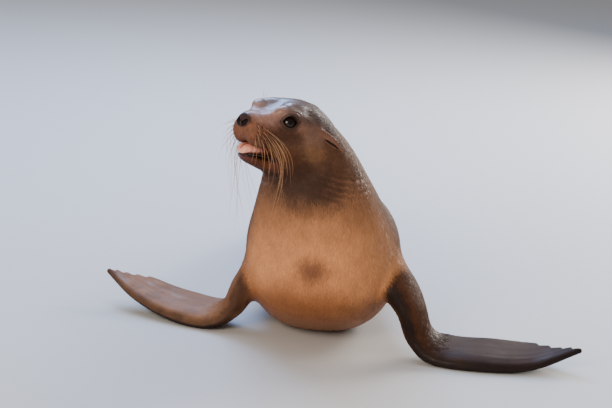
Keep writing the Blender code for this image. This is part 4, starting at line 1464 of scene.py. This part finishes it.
class Paints:
    """The materials, each made once."""

    def __init__(self) -> None:
        self.grain = grain_group()

    def make(
        self, name: str, finish: Finish, hue: Array | None = None, bare: Finish | None = None
    ) -> bpy.types.Material:
        """A material whose colour is in the mesh's tint, or is one hue.

        Args:
            name: the material's name.
            finish: the looks of the coat, or of the whole surface.
            hue: one colour, for a piece without a tint.
            bare: the looks of the bare skin, for a piece with both.
        """
        material = bpy.data.materials.new(name)
        material.use_nodes = True
        material.node_tree.nodes.clear()
        tree = Tree(material.node_tree)
        values = {
            "Coat Roughness": finish.film_rough,
            "Coat IOR": WATER_IOR,
            "Specular IOR Level": finish.shine,
        }
        shader = tree.add("BsdfPrincipled", values)
        tree.add("OutputMaterial", {0: shader.outputs[0]})
        if hue is None:
            colour = tree.attribute("tint").outputs["Color"]
            where = tree.attribute("strands").outputs["Vector"]
        else:
            colour, where = (*hue, 1.0), tree.add("TexCoord").outputs["Object"]
        grain = tree.add("Group", node_tree=self.grain)
        values = {
            "Place": where,
            "Tint": colour,
            "Fineness": finish.fine,
            "Mottle": finish.mottle,
            "Dry Roughness": finish.rough,
            "Wet Roughness": finish.wet_rough,
            "Film": finish.gloss,
        }
        for socket, value in values.items():
            tree.put(grain, socket, value)
        bump = tree.add("Bump", {"Height": grain.outputs["Height"], "Distance": finish.relief})
        tree.put(shader, "Normal", bump.outputs[0])
        links = {"Colour": "Base Color", "Roughness": "Roughness", "Gloss": "Coat Weight"}
        for output, socket in links.items():
            tree.put(shader, socket, grain.outputs[output])
        if hue is None:
            parts = tree.add("SeparateXYZ", {"Vector": tree.attribute("finish").outputs["Vector"]}).outputs
            tree.put(grain, "Wet", parts["X"])
        if bare is not None:
            even = tree.maths("SUBTRACT", 1.0, parts["Z"])
            for node, socket, low, high in (
                (grain, "Mottle", finish.mottle, bare.mottle),
                (bump, "Distance", finish.relief, bare.relief),
            ):
                share = tree.add("MapRange", {"Value": parts["Y"], "To Min": low, "To Max": high})
                tree.put(node, socket, tree.maths("MULTIPLY", share.outputs[0], even))
        return material


# ------------------------------------------------------------------------------------------ the coat
class Region(Enum):
    """The stretches of the coat, each a piece of its own."""

    BODY = 0
    NECK = 1
    HEAD = 2
    LIMBS = 3


@dataclass(frozen=True)
class TuftKind:
    """The tufts of one region.

    Attributes:
        region: the stretch of coat they make up.
        density: their number on a square metre.
        length: the length of one.
        width: its width.
        height: how far its tip stands off the skin.
    """

    region: Region
    density: float
    length: float
    width: float
    height: float

    @property
    def name(self) -> str:
        """The piece's name."""
        return f"coat_{self.region.name.lower()}"


TUFTS = (
    TuftKind(Region.BODY, 46_000, 0.0150, 0.0030, 0.0007),
    TuftKind(Region.NECK, 62_000, 0.0125, 0.0026, 0.0006),
    TuftKind(Region.HEAD, 150_000, 0.0070, 0.0017, 0.0006),
    TuftKind(Region.LIMBS, 60_000, 0.0095, 0.0024, 0.0006),
)
# ---- a tuft: three root points, three round its middle and the tip, and its patch of the unwrap
TUFT_FACES = np.array([
    [0, 1, 4], [0, 4, 3], [1, 2, 5], [1, 5, 4], [2, 0, 3],
    [2, 3, 5], [3, 4, 6], [4, 5, 6], [5, 3, 6], [0, 2, 1],
])
PATCH_SIZE = 0.003
TUFT_PATCH = np.array([[0, 0], [1, 0], [0.5, 0.12], [0, 0.5], [1, 0.5], [0.5, 0.62], [0.5, 1]])
TUFT_PATCH = (TUFT_PATCH - 0.5) * PATCH_SIZE
TUFT_MIDDLE = 0.45
ROOT_DEPTH = 0.0008


def turn_share(a: Array, b: Array) -> Array:
    """The angle of a over b, as a share of a full turn."""
    return np.arctan2(a, b) / math.tau + 0.5


class Unwrap:
    """The skin's own unwrap: a band for the trunk, one for the head and one for each limb."""

    def __init__(self, animal: SeaLion) -> None:
        self.animal = animal

    def at(self, region: Region, p: Array) -> Array:
        """The places of a region's points on the unwrap."""
        if region is Region.HEAD:
            return self._head(p)
        return self._limb(p) if region is Region.LIMBS else self._trunk(p)

    def _trunk(self, p: Array) -> Array:
        """Round the trunk and along it."""
        _, t, u, v = self.animal.trunk.distance(p)
        return np.stack([0.01 + 0.68 * turn_share(u, v), 0.01 + 0.98 * t], 1)

    def _head(self, p: Array) -> Array:
        """Round the head and along it."""
        x, y, z = self.animal.head.into(p).T
        return np.stack([0.71 + 0.28 * turn_share(y, z), 0.51 + 0.48 * np.clip((x + 0.12) / 0.31, 0, 1)], 1)

    def _limb(self, p: Array) -> Array:
        """Round each limb and along it, in one of four bands."""
        found = np.full(len(p), np.inf)
        uv = np.tile([0.85, 0.25], (len(p), 1))
        for limb, near in touching(self.animal.limbs, p):
            out, t, a, n = limb.distance(p[near])
            left = 0.71 + 0.07 * self.animal.limbs.index(limb)
            made = np.stack([left + 0.06 * turn_share(a, n / limb.track.at(t)[:, 14]), 0.01 + 0.48 * t], 1)
            closer = out < found[near]
            uv[near[closer]] = made[closer]
            found[near[closer]] = out[closer]
        return uv


class Coat:
    """Short tufts over the skin, in one piece for each region."""

    MOST_STEEP = 0.86  # the share of its length by which a tuft may point straight into the skin
    LOW = 0.010  # below this height nothing grows on skin that faces down
    EAR_CLEAR = 0.0018
    LID_CLEAR = 0.0022
    LID_REACH = 0.030
    SPREAD = 0.38  # how far the normals of a tuft lean from the skin's

    def __init__(self, animal: SeaLion, markings: Markings, skin: bpy.types.Mesh) -> None:
        self.animal, self.markings = animal, markings
        self.unwrap = Unwrap(animal)
        skin.calc_loop_triangles()
        faces = np.empty(len(skin.loop_triangles) * 3, np.int32)
        skin.loop_triangles.foreach_get("vertices", faces)
        self.corners = read_points(skin)[faces.reshape(-1, 3)]
        a, b, c = self.corners.transpose(1, 0, 2)
        self.area = np.linalg.norm(np.cross(b - a, c - a), axis=1) / 2

    def roots(self, density: float, rng: np.random.Generator) -> Array:
        """Points spread evenly over the skin."""
        total = int(self.area.sum() * density)
        spots = (np.arange(total) + rng.random(total)) / total * self.area.sum()
        face = np.searchsorted(np.cumsum(self.area), spots).clip(0, len(self.area) - 1)
        r1, r2 = np.sqrt(rng.random(total)), rng.random(total)
        a, b, c = self.corners[face].transpose(1, 0, 2)
        return a * (1 - r1)[:, None] + b * (r1 * (1 - r2))[:, None] + c * (r1 * r2)[:, None]

    def build(self, kind: TuftKind, look: bpy.types.Material) -> bpy.types.Object:
        """The tufts of one region.

        Args:
            kind: their number and size.
            look: their material.
        """
        rng = np.random.default_rng(SEED + 1 + kind.region.value)
        p = self.roots(kind.density * (1.0), rng)
        p = p[self._region(p) == kind.region.value]
        normal = unit(self.animal.slope(p))
        face = self.markings.read(p, normal)
        chosen = np.flatnonzero(self._grows(kind, p, normal, face, rng))
        if len(chosen) > MOST_TUFTS:
            chosen = chosen[np.sort(rng.permutation(len(chosen))[:MOST_TUFTS])]
        return self._piece(kind, p[chosen], normal[chosen], face.pick(chosen), look, rng)

    def _region(self, p: Array) -> Array:
        """Which region each point is in."""
        t = self.animal.trunk.share(p)
        region = np.where(t + 0.03 * wave(p, 0.012, 33) < 0.47, Region.NECK.value, Region.BODY.value)
        head = self.markings.head_share(self.animal.head.into(p))
        region = np.where(head > 0.5, Region.HEAD.value, region)
        return np.where(self.markings.limb_part(p).much > 0.5, Region.LIMBS.value, region)

    def _grows(
        self, kind: TuftKind, p: Array, normal: Array, face: Surface, rng: np.random.Generator
    ) -> Array:
        """Where a tuft grows: not on bare or slick skin, underneath, in the mouth, on lids or past edges."""
        q = self.animal.head.into(p)
        keep = (face.bare < rng.uniform(0.1, 0.7, len(p))) & (face.mouth < 0.3)
        keep &= face.steep < self.MOST_STEEP
        keep &= (p[:, 2] >= self.LOW) | (normal[:, 2] >= 0.2)
        keep &= np.abs(self.animal.field(p + face.lie * kind.length)) < TURN_AWAY * kind.length
        keep &= (face.wet < rng.uniform(0.25, 0.85, len(p))) | (q[:, 0] < -0.05)
        for side in Side:
            keep &= self.animal.ear_slit(q, side) > self.EAR_CLEAR
        for eye in self.animal.eyes:
            rim, ahead = eye.opening(q)
            far = np.linalg.norm(q - eye.centre, axis=1)
            keep &= (rim > self.LID_CLEAR) | (ahead < 0) | (far > self.LID_REACH)
        return keep

    @staticmethod
    def _size(face: Surface, q: Array) -> Array:
        """How large the tufts are: smaller on the face, at the coat's edges and where they point inward."""
        small = 1 - 0.55 * smooth_step(0.06, 0.13, q[:, 0]) * (q[:, 2] > -0.1)
        small = small * (1 - 0.45 * face.plain) * (1 - 0.6 * face.bare)
        return small * (1 - 0.7 * smooth_step(0.45, 0.8, face.steep))

    def _bake_map(self, mesh: bpy.types.Mesh, region: Region, p: Array, faces: Array) -> None:
        """Lays each tuft's corners on a small patch of the unwrap at its root."""
        places = np.clip(self.unwrap.at(region, p)[:, None] + TUFT_PATCH[None], 0.0, 1.0)
        layer = mesh.uv_layers.new(name="OFBake")
        layer.data.foreach_set("uv", places.reshape(-1, 2)[faces.ravel()].astype(np.float32).ravel())

    def _piece(
        self, kind: TuftKind, p: Array, normal: Array, face: Surface, look: bpy.types.Material,
        rng: np.random.Generator,
    ) -> bpy.types.Object:
        """Joins the tufts at these roots into one mesh."""
        count = len(p)
        small = self._size(face, self.animal.head.into(p))
        length = kind.length * rng.uniform(0.75, 1.25, count) * small
        width = kind.width * rng.uniform(0.8, 1.25, count) * small
        across = np.cross(normal, face.lie)
        swing = 0.16 * rng.normal(size=count) + 0.30 * wave(p, 0.035, 21) + 0.18 * wave(p, 0.011, 22)
        way = unit(face.lie * np.cos(swing)[:, None] + across * np.sin(swing)[:, None])
        across = unit(np.cross(normal, way))
        rise = kind.height * rng.uniform(0.7, 1.3, count)

        def on_skin(points: Array, above: Array) -> Array:
            off = above - self.animal.field(points)
            return points + normal * np.clip(off, -0.004, 0.004)[:, None]

        root = p - normal * ROOT_DEPTH
        middle = on_skin(p + way * (TUFT_MIDDLE * length)[:, None], 0.30 * rise)
        tip = on_skin(p + way * length[:, None], rise)
        half, thick = (width / 2)[:, None] * across, (0.30 * width)[:, None] * normal
        roots = [root - 0.6 * half, root + 0.6 * half, root + 0.9 * thick]
        middles = [middle - half - 0.5 * thick, middle + half - 0.5 * thick, middle + thick]
        points = np.stack([*roots, *middles, tip], 1)
        points[..., 2] = np.maximum(points[..., 2], FLOOR_CLEAR)
        faces = TUFT_FACES[None] + points.shape[1] * np.arange(count)[:, None, None]
        mesh = plain_mesh(kind.name, points.reshape(-1, 3), faces.reshape(-1, 3))
        tone = (1 + 0.06 * rng.normal(size=count)).clip(0.8, 1.2)[:, None]

        def each(rows: Array) -> Array:
            return np.repeat(rows[:, None], points.shape[1], 1)

        tint = each(face.tint * tone)
        tint[:, :3] *= 0.88
        tint[:, 6] *= 1.05
        strands = each(face.strands)
        strands[:, 3:6, 2] += TUFT_MIDDLE * length[:, None]
        strands[:, 6, 2] += length
        finish = each(np.stack([face.wet, face.bare, np.zeros(count)], 1))
        paint(mesh, np.clip(tint, 0.002, 0.95).reshape(-1, 3), finish.reshape(-1, 3), strands.reshape(-1, 3))
        spread = np.stack([-across, across, normal * 3, -across, across, normal * 3, normal], 1)
        lean = unit(spread * self.SPREAD + normal[:, None])
        mesh.normals_split_custom_set_from_vertices(lean.reshape(-1, 3).astype(np.float32))
        self._bake_map(mesh, kind.region, p, faces)
        made = add_object(kind.name, mesh, look)
        return made


# ------------------------------------------------------------------------------------------ small pieces
def lathe_faces(rings: int, sides: int, capped: bool = True) -> list[tuple[int, ...]]:
    """Quads between closed rings of points, and a face over each end where it is capped."""
    faces = []
    for low in range(0, (rings - 1) * sides, sides):
        for s in range(sides):
            n = (s + 1) % sides
            faces.append((low + s, low + n, low + sides + n, low + sides + s))
    if capped:
        faces.append(tuple(range(sides))[::-1])
        faces.append(tuple((rings - 1) * sides + i for i in range(sides)))
    return faces


def solid(name: str, points: Array, faces: Sequence, look: bpy.types.Material) -> bpy.types.Object:
    """A smooth piece from points and faces, facing outward."""
    mesh = bpy.data.meshes.new(name)
    mesh.from_pydata(points.tolist(), [], faces)
    mesh.calc_loop_triangles()
    corners = np.empty(len(mesh.loop_triangles) * 3, np.int32)
    mesh.loop_triangles.foreach_get("vertices", corners)
    if np.linalg.det(points[corners.reshape(-1, 3)]).sum() < 0:
        mesh.flip_normals()
    mesh.polygons.foreach_set("use_smooth", np.ones(len(mesh.polygons), bool))
    mesh.update()
    return add_object(name, mesh, look)


def tube(path: Array, radii: Array, sides: int) -> Array:
    """The points of a tapered tube along a path."""
    ahead = unit(np.gradient(path, axis=0))
    one = unit(np.cross(ahead, np.array([0.31, 0.22, 0.93])))
    two = np.cross(ahead, one)
    angles = (np.arange(sides) * math.tau / sides)[None, :, None]
    ring = np.cos(angles) * one[:, None] + np.sin(angles) * two[:, None]
    return (path[:, None] + radii[:, None, None] * ring).reshape(-1, 3)


def build_eye(animal: SeaLion, eye: Eye, look: bpy.types.Material) -> bpy.types.Object:
    """One eyeball with its iris and a clear bulge over it."""
    rings, sides, radius = 46, 64, EYE_RADIUS - EYEBALL_GAP
    polar = np.linspace(0, math.pi, rings + 2)[1:-1, None]
    around = (np.arange(sides) * math.tau / sides)[None]
    bulge = 1 + EYE_BULGE * np.exp(-((polar / math.radians(34)) ** 4))
    ball = [np.sin(polar) * np.cos(around), np.sin(polar) * np.sin(around), np.cos(polar) + 0 * around]
    ball = (np.stack(ball, -1) * radius * bulge[..., None]).reshape(-1, 3)
    local = np.concatenate([ball, [[0, 0, radius * bulge[0, 0]], [0, 0, -radius]]])
    points = animal.head.out(local @ eye.axes + eye.centre)
    faces = lathe_faces(rings, sides, capped=False)
    front, back, last = rings * sides, rings * sides + 1, (rings - 1) * sides
    for s in range(sides):
        n = (s + 1) % sides
        faces += [(front, n, s), (back, last + s, last + n)]
    made = solid(f"eyeball_{eye.side.label}", points, faces, look)
    angle = np.degrees(np.arctan2(np.hypot(local[:, 0], local[:, 1]), local[:, 2]))
    spin = np.arctan2(local[:, 1], local[:, 0])
    rays = 0.22 * np.sin(spin * 31 + 2 * np.sin(spin * 7)) + 0.12 * np.sin(spin * 13 + 1)
    tint = mix(Hue.PUPIL, Hue.IRIS, smooth_step(13, 17, angle))
    tint = tint * (1 + rays * smooth_step(13, 18, angle) * smooth_step(34, 28, angle))[:, None]
    tint = mix(tint, Hue.IRIS_RIM, smooth_step(28, 34, angle))
    tint = mix(tint, Hue.EYE_WHITE, smooth_step(46, 60, angle))
    paint(made.data, tint, np.tile(WET_AND_BARE, (len(points), 1)), points)
    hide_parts(f"eye_{eye.side.label}")
    return made


def build_tongue(animal: SeaLion, look: bpy.types.Material) -> bpy.types.Object:
    """The tongue: broad and rounded, with a groove along its middle and an uneven edge; its back and its
    groove are painted darker as painted shade.
    """
    rings, sides = 60, 48
    t = np.linspace(0.0, 1.0, rings)[:, None]
    x, half_width, top, low = through(TONGUE, t[:, 0]).T[..., None]
    angles = (np.arange(sides) * math.tau / sides)[None]
    c, s = np.cos(angles), np.sin(angles)
    wide, high = np.sign(c) * np.abs(c) ** 0.8, np.sign(s) * np.abs(s) ** 0.9
    x = np.repeat(x, sides, 1)
    y = half_width * wide * 0.965 * (1 + 0.045 * np.sin(x * 520 + 3 * c) * np.abs(c) ** 3)
    groove = np.exp(-((y / 0.0032) ** 2)) * (s > 0) * smooth_step(1.0, 0.90, t)
    z = (top + low) / 2 + (top - low) / 2 * high * 0.94 - 0.0018 * groove
    z = z + 0.0003 * np.sin(x * 900 + y * 700) * (s > 0.2) - 0.0022 * smooth_step(0.70, 0.95, t)
    jaw = np.stack([x, y, z], -1).reshape(-1, 3)
    points = animal.head.out(animal.head.out_of_jaw(jaw))
    made = solid("tongue_flesh", points, lathe_faces(rings, sides), look)
    # the back of the tongue and its groove are painted darker: painted shade inside the mouth
    tint = mix(Hue.TONGUE_BACK, Hue.TONGUE, smooth_step(0.118, 0.156, jaw[:, 0]))
    tint = mix(tint, Hue.TONGUE_BACK, 0.7 * groove.reshape(-1))
    tint = tint * (1 + 0.07 * wave(points, 0.010, 31))[:, None]
    paint(made.data, tint, np.tile(WET_AND_BARE, (len(points), 1)), points)
    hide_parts("tongue")
    return made


class Whiskers:
    """The drooping whiskers of the muzzle and the short hairs of the brows."""

    STEPS = 22
    SIDES = 5
    LONGEST = 0.215
    THICK = 0.00050
    BROW_THICK = 0.00028
    BROW_SAG = 0.09
    BROW_HAIRS = ((0.104, 0.066), (0.099, 0.067), (0.094, 0.066), (0.109, 0.064))

    def __init__(self, animal: SeaLion) -> None:
        self.animal = animal
        self.rng = np.random.default_rng(SEED + 77)
        self.points: list[Array] = []
        self.tints: list[Array] = []

    def _on_face(self, q: Sequence) -> tuple[Array, Array]:
        """Moves a point of the head's frame onto the skin, and gives its normal."""
        p = self.animal.settle(self.animal.head.out(np.array([q])), 12)
        return p[0], unit(self.animal.slope(p))[0]

    def _hair(self, start: Array, way: Array, length: float, sag: float, swing: Array, thick: float) -> None:
        """Adds a hair.

        Args:
            start: its root on the skin.
            way: how it leaves the skin.
            length: its length.
            sag: the length over which its weight turns it down.
            swing: which way it leans as it hangs.
            thick: its radius at the root.
        """
        share = np.linspace(0, 1, self.STEPS)
        turn = smooth_step(0.0, sag, share * length)[:, None]
        down = unit(np.array([0.0, 0.0, -1.0]) + swing)
        ways = unit(way * (1 - turn) + down * turn + swing[None] * (share[:, None] ** 2) * 0.8)
        moves = np.cumsum(ways[:-1] + ways[1:], axis=0) / 2 * length / (self.STEPS - 1)
        path = start + np.concatenate([[np.zeros(3)], moves]) - way * 0.0015 * (1 - share[:, None]) ** 8
        self.points.append(tube(path, thick * (1 - 0.85 * share**1.2), self.SIDES))
        tone = self.rng.uniform(0.55, 1.25)
        colour = mix(Hue.WHISKER_ROOT, Hue.WHISKER, smooth_step(0.0, 0.30, share)) * tone
        self.tints.append(np.repeat(np.clip(colour, 0, 1), self.SIDES, 0))

    def _whisker(self, side: Side, row: int, column: int) -> None:
        """One whisker of the pad: the further back, the longer."""
        rng, head, left = self.rng, self.animal.head, side is Side.LEFT
        x = PAD_START[0] - PAD_STEP[0] * column - 0.0018 * row + rng.uniform(-0.0012, 0.0012)
        z = PAD_START[1] - PAD_STEP[1] * row - 0.0012 * column + rng.uniform(-0.0010, 0.0010)
        start, normal = self._on_face((x, side.value * (0.030 + 0.004 * column), z))
        lean = head.turn(np.array([-0.30 - 0.10 * column, 0.0, -0.66 - 0.02 * row]))
        way = unit(normal + lean + 0.10 * rng.normal(size=3))
        length = (0.034 + 0.018 * column + 0.006 * row) * rng.uniform(0.7, 1.25)
        if column >= 2 and rng.random() < (0.30 if left else 0.60):
            length *= 1.7 if left else 2.1
        swing = head.turn(np.array([-0.05, -0.16 * side.value, 0.0])) + 0.12 * rng.normal(size=3)
        swing[2] = 0.0
        self._hair(start, way, min(length, self.LONGEST), rng.uniform(0.060, 0.140), swing, self.THICK)

    def build(self, look: bpy.types.Material) -> bpy.types.Object:
        """All whiskers in one piece."""
        for side in Side:
            for row in range(PAD_ROWS):
                for column in range(PAD_COLUMNS - (row in (0, PAD_ROWS - 1))):
                    self._whisker(side, row, column)
            for k, (x, z) in enumerate(self.BROW_HAIRS):
                start, normal = self._on_face((x, side.value * 0.043, z))
                lean = self.animal.head.turn(np.array([0.35 - 0.25 * k, 0.25 * side.value, 0.3]))
                length = 0.015 + 0.004 * k
                way = unit(normal + lean)
                self._hair(start, way, length, self.BROW_SAG, np.zeros(3), self.BROW_THICK)
        points = np.concatenate(self.points)
        hair = lathe_faces(self.STEPS, self.SIDES)
        size = self.STEPS * self.SIDES
        faces = [tuple(first + i for i in face) for first in range(0, len(points), size) for face in hair]
        made = solid("whiskers", points, faces, look)
        paint(made.data, np.concatenate(self.tints), np.tile([0.4, 1.0, 0.0], (len(points), 1)), points)
        return made


# ------------------------------------------------------------------------------------------ the studio
# ---- each light's name, place, aim, size, power and colour
LIGHTS = (
    ("key", (-1.6, -3.4, 1.8), (0, -0.2, 0.25), 1.6, 112, (1.0, 0.85, 0.69)),
    ("sky", (-0.2, 0.0, 3.2), (0, -0.1, 0.2), 2.2, 40, (0.72, 0.82, 1.0)),
    ("sky_behind", (-0.9, 2.3, 2.8), (-0.1, -0.35, 0.45), 2.2, 170, (0.40, 0.58, 1.0)),
    ("rim", (2.3, 2.7, 1.5), (0, -0.2, 0.35), 1.8, 200, (1.0, 0.95, 0.90)),
)
SURROUNDINGS = (0.94, 0.93, 0.94, 1)
SURROUNDINGS_STRENGTH = 0.34
FLOOR_COLOUR = (0.62, 0.62, 0.61, 1)
FLOOR_HALF = 9
CAMERA_TILT = math.radians(14)
CAMERA_ROLL = math.radians(4.5)
CAMERA_AIM = (-0.068, -0.2, 0.286)
CAMERA_AWAY = 5.0
CAMERA_LENS = 134.7


def area_light(
    name: str, place_at: Sequence, aim: Sequence, size: float, power: float, colour: Sequence
) -> None:
    """A square soft light."""
    light = bpy.data.lights.new(name, "AREA")
    light.size, light.energy, light.color = size, power, colour
    made = bpy.data.objects.new(name, light)
    bpy.context.scene.collection.objects.link(made)
    made.location = place_at
    made.rotation_mode = "QUATERNION"
    made.rotation_quaternion = (Vector(aim) - Vector(place_at)).to_track_quat("-Z", "Y")


def build_studio() -> None:
    """The floor, the lights and the plain surroundings."""
    mesh = bpy.data.meshes.new("floor")
    corners = [(x * FLOOR_HALF, y * FLOOR_HALF, 0) for x, y in ((-1, -1), (1, -1), (1, 1), (-1, 1))]
    mesh.from_pydata(corners, [], [(0, 1, 2, 3)])
    floor = bpy.data.objects.new("floor", mesh)
    bpy.context.scene.collection.objects.link(floor)
    material = bpy.data.materials.new("floor_paint")
    material.use_nodes = True
    shader = material.node_tree.nodes["Principled BSDF"]
    shader.inputs["Base Color"].default_value = FLOOR_COLOUR
    shader.inputs["Roughness"].default_value = 0.7
    mesh.materials.append(material)
    floor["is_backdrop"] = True
    world = bpy.data.worlds.new("surroundings")
    bpy.context.scene.world = world
    world.use_nodes = True
    background = world.node_tree.nodes["Background"]
    background.inputs[0].default_value = SURROUNDINGS
    background.inputs[1].default_value = SURROUNDINGS_STRENGTH
    for light in LIGHTS:
        area_light(*light)


def build_camera() -> None:
    """The camera: level with the animal's chest and a little above, looking along +Y."""
    away = Vector((0, -math.cos(CAMERA_TILT), math.sin(CAMERA_TILT)))
    data = bpy.data.cameras.new("camera")
    data.lens, data.sensor_width, data.clip_start = CAMERA_LENS, 36.0, 0.05
    camera = bpy.data.objects.new("camera", data)
    bpy.context.scene.collection.objects.link(camera)
    camera.location = Vector(CAMERA_AIM) + away * CAMERA_AWAY
    camera.rotation_mode = "QUATERNION"
    camera.rotation_quaternion = (-away).to_track_quat("-Z", "Y") @ Quaternion((0, 0, 1), CAMERA_ROLL)
    bpy.context.scene.camera = camera


FLESH = (
    "head", "lower_jaw", "nose", "ear_left", "ear_right", "neck", "chest", "belly", "hindquarters", "tail",
    "forearm_left", "forearm_right", "fore_flipper_left", "fore_flipper_right", "ankle_left", "ankle_right",
    "hind_flipper_left", "hind_flipper_right",
)


def dress_skin(animal: SeaLion, markings: Markings, skin: bpy.types.Object) -> None:
    """Stores the markings on the skin."""
    points = read_points(skin.data)
    face = markings.read(points, unit(animal.slope(points)))
    paint(skin.data, face.tint, np.stack([face.wet, face.bare, face.plain], 1), face.strands)
    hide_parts(*FLESH)


def save_sizes(before: tuple, after: tuple) -> None:
    """Turns the solids' box and the looks' box into lists of numbers, which are not kept."""
    both = {"solids": before, "looks": after}
    boxes = {name: [list(map(float, corner)) for corner in box] for name, box in both.items()}


def main() -> None:
    """Builds the looks."""
    logging.basicConfig(level=logging.INFO, format="%(asctime)s %(message)s", force=True)
    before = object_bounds()
    animal = SeaLion()
    markings = Markings(animal)
    paints = Paints()
    skin = build_skin(animal, paints.make("coat_and_skin", FUR, bare=BARE))
    dress_skin(animal, markings, skin)
    coat = Coat(animal, markings, skin.data)
    tuft_look = paints.make("tufts", TUFT)
    for kind in TUFTS:
        coat.build(kind, tuft_look)
    film = paints.make("eye_gloss", EYE_FILM)
    for eye in animal.eyes:
        build_eye(animal, eye, film)
    build_tongue(animal, paints.make("moist_flesh", MOIST))
    Whiskers(animal).build(paints.make("whisker_hair", HAIR))
    horn = paints.make("horn", HORN, hue=Hue.CLAW)
    for name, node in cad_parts.items():
        if name.startswith("claw"):
            node.data.materials.clear()
            node.data.materials.append(horn)
    build_studio()
    build_camera()
    save_sizes(before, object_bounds())


if __name__ == "__main__":
    main()
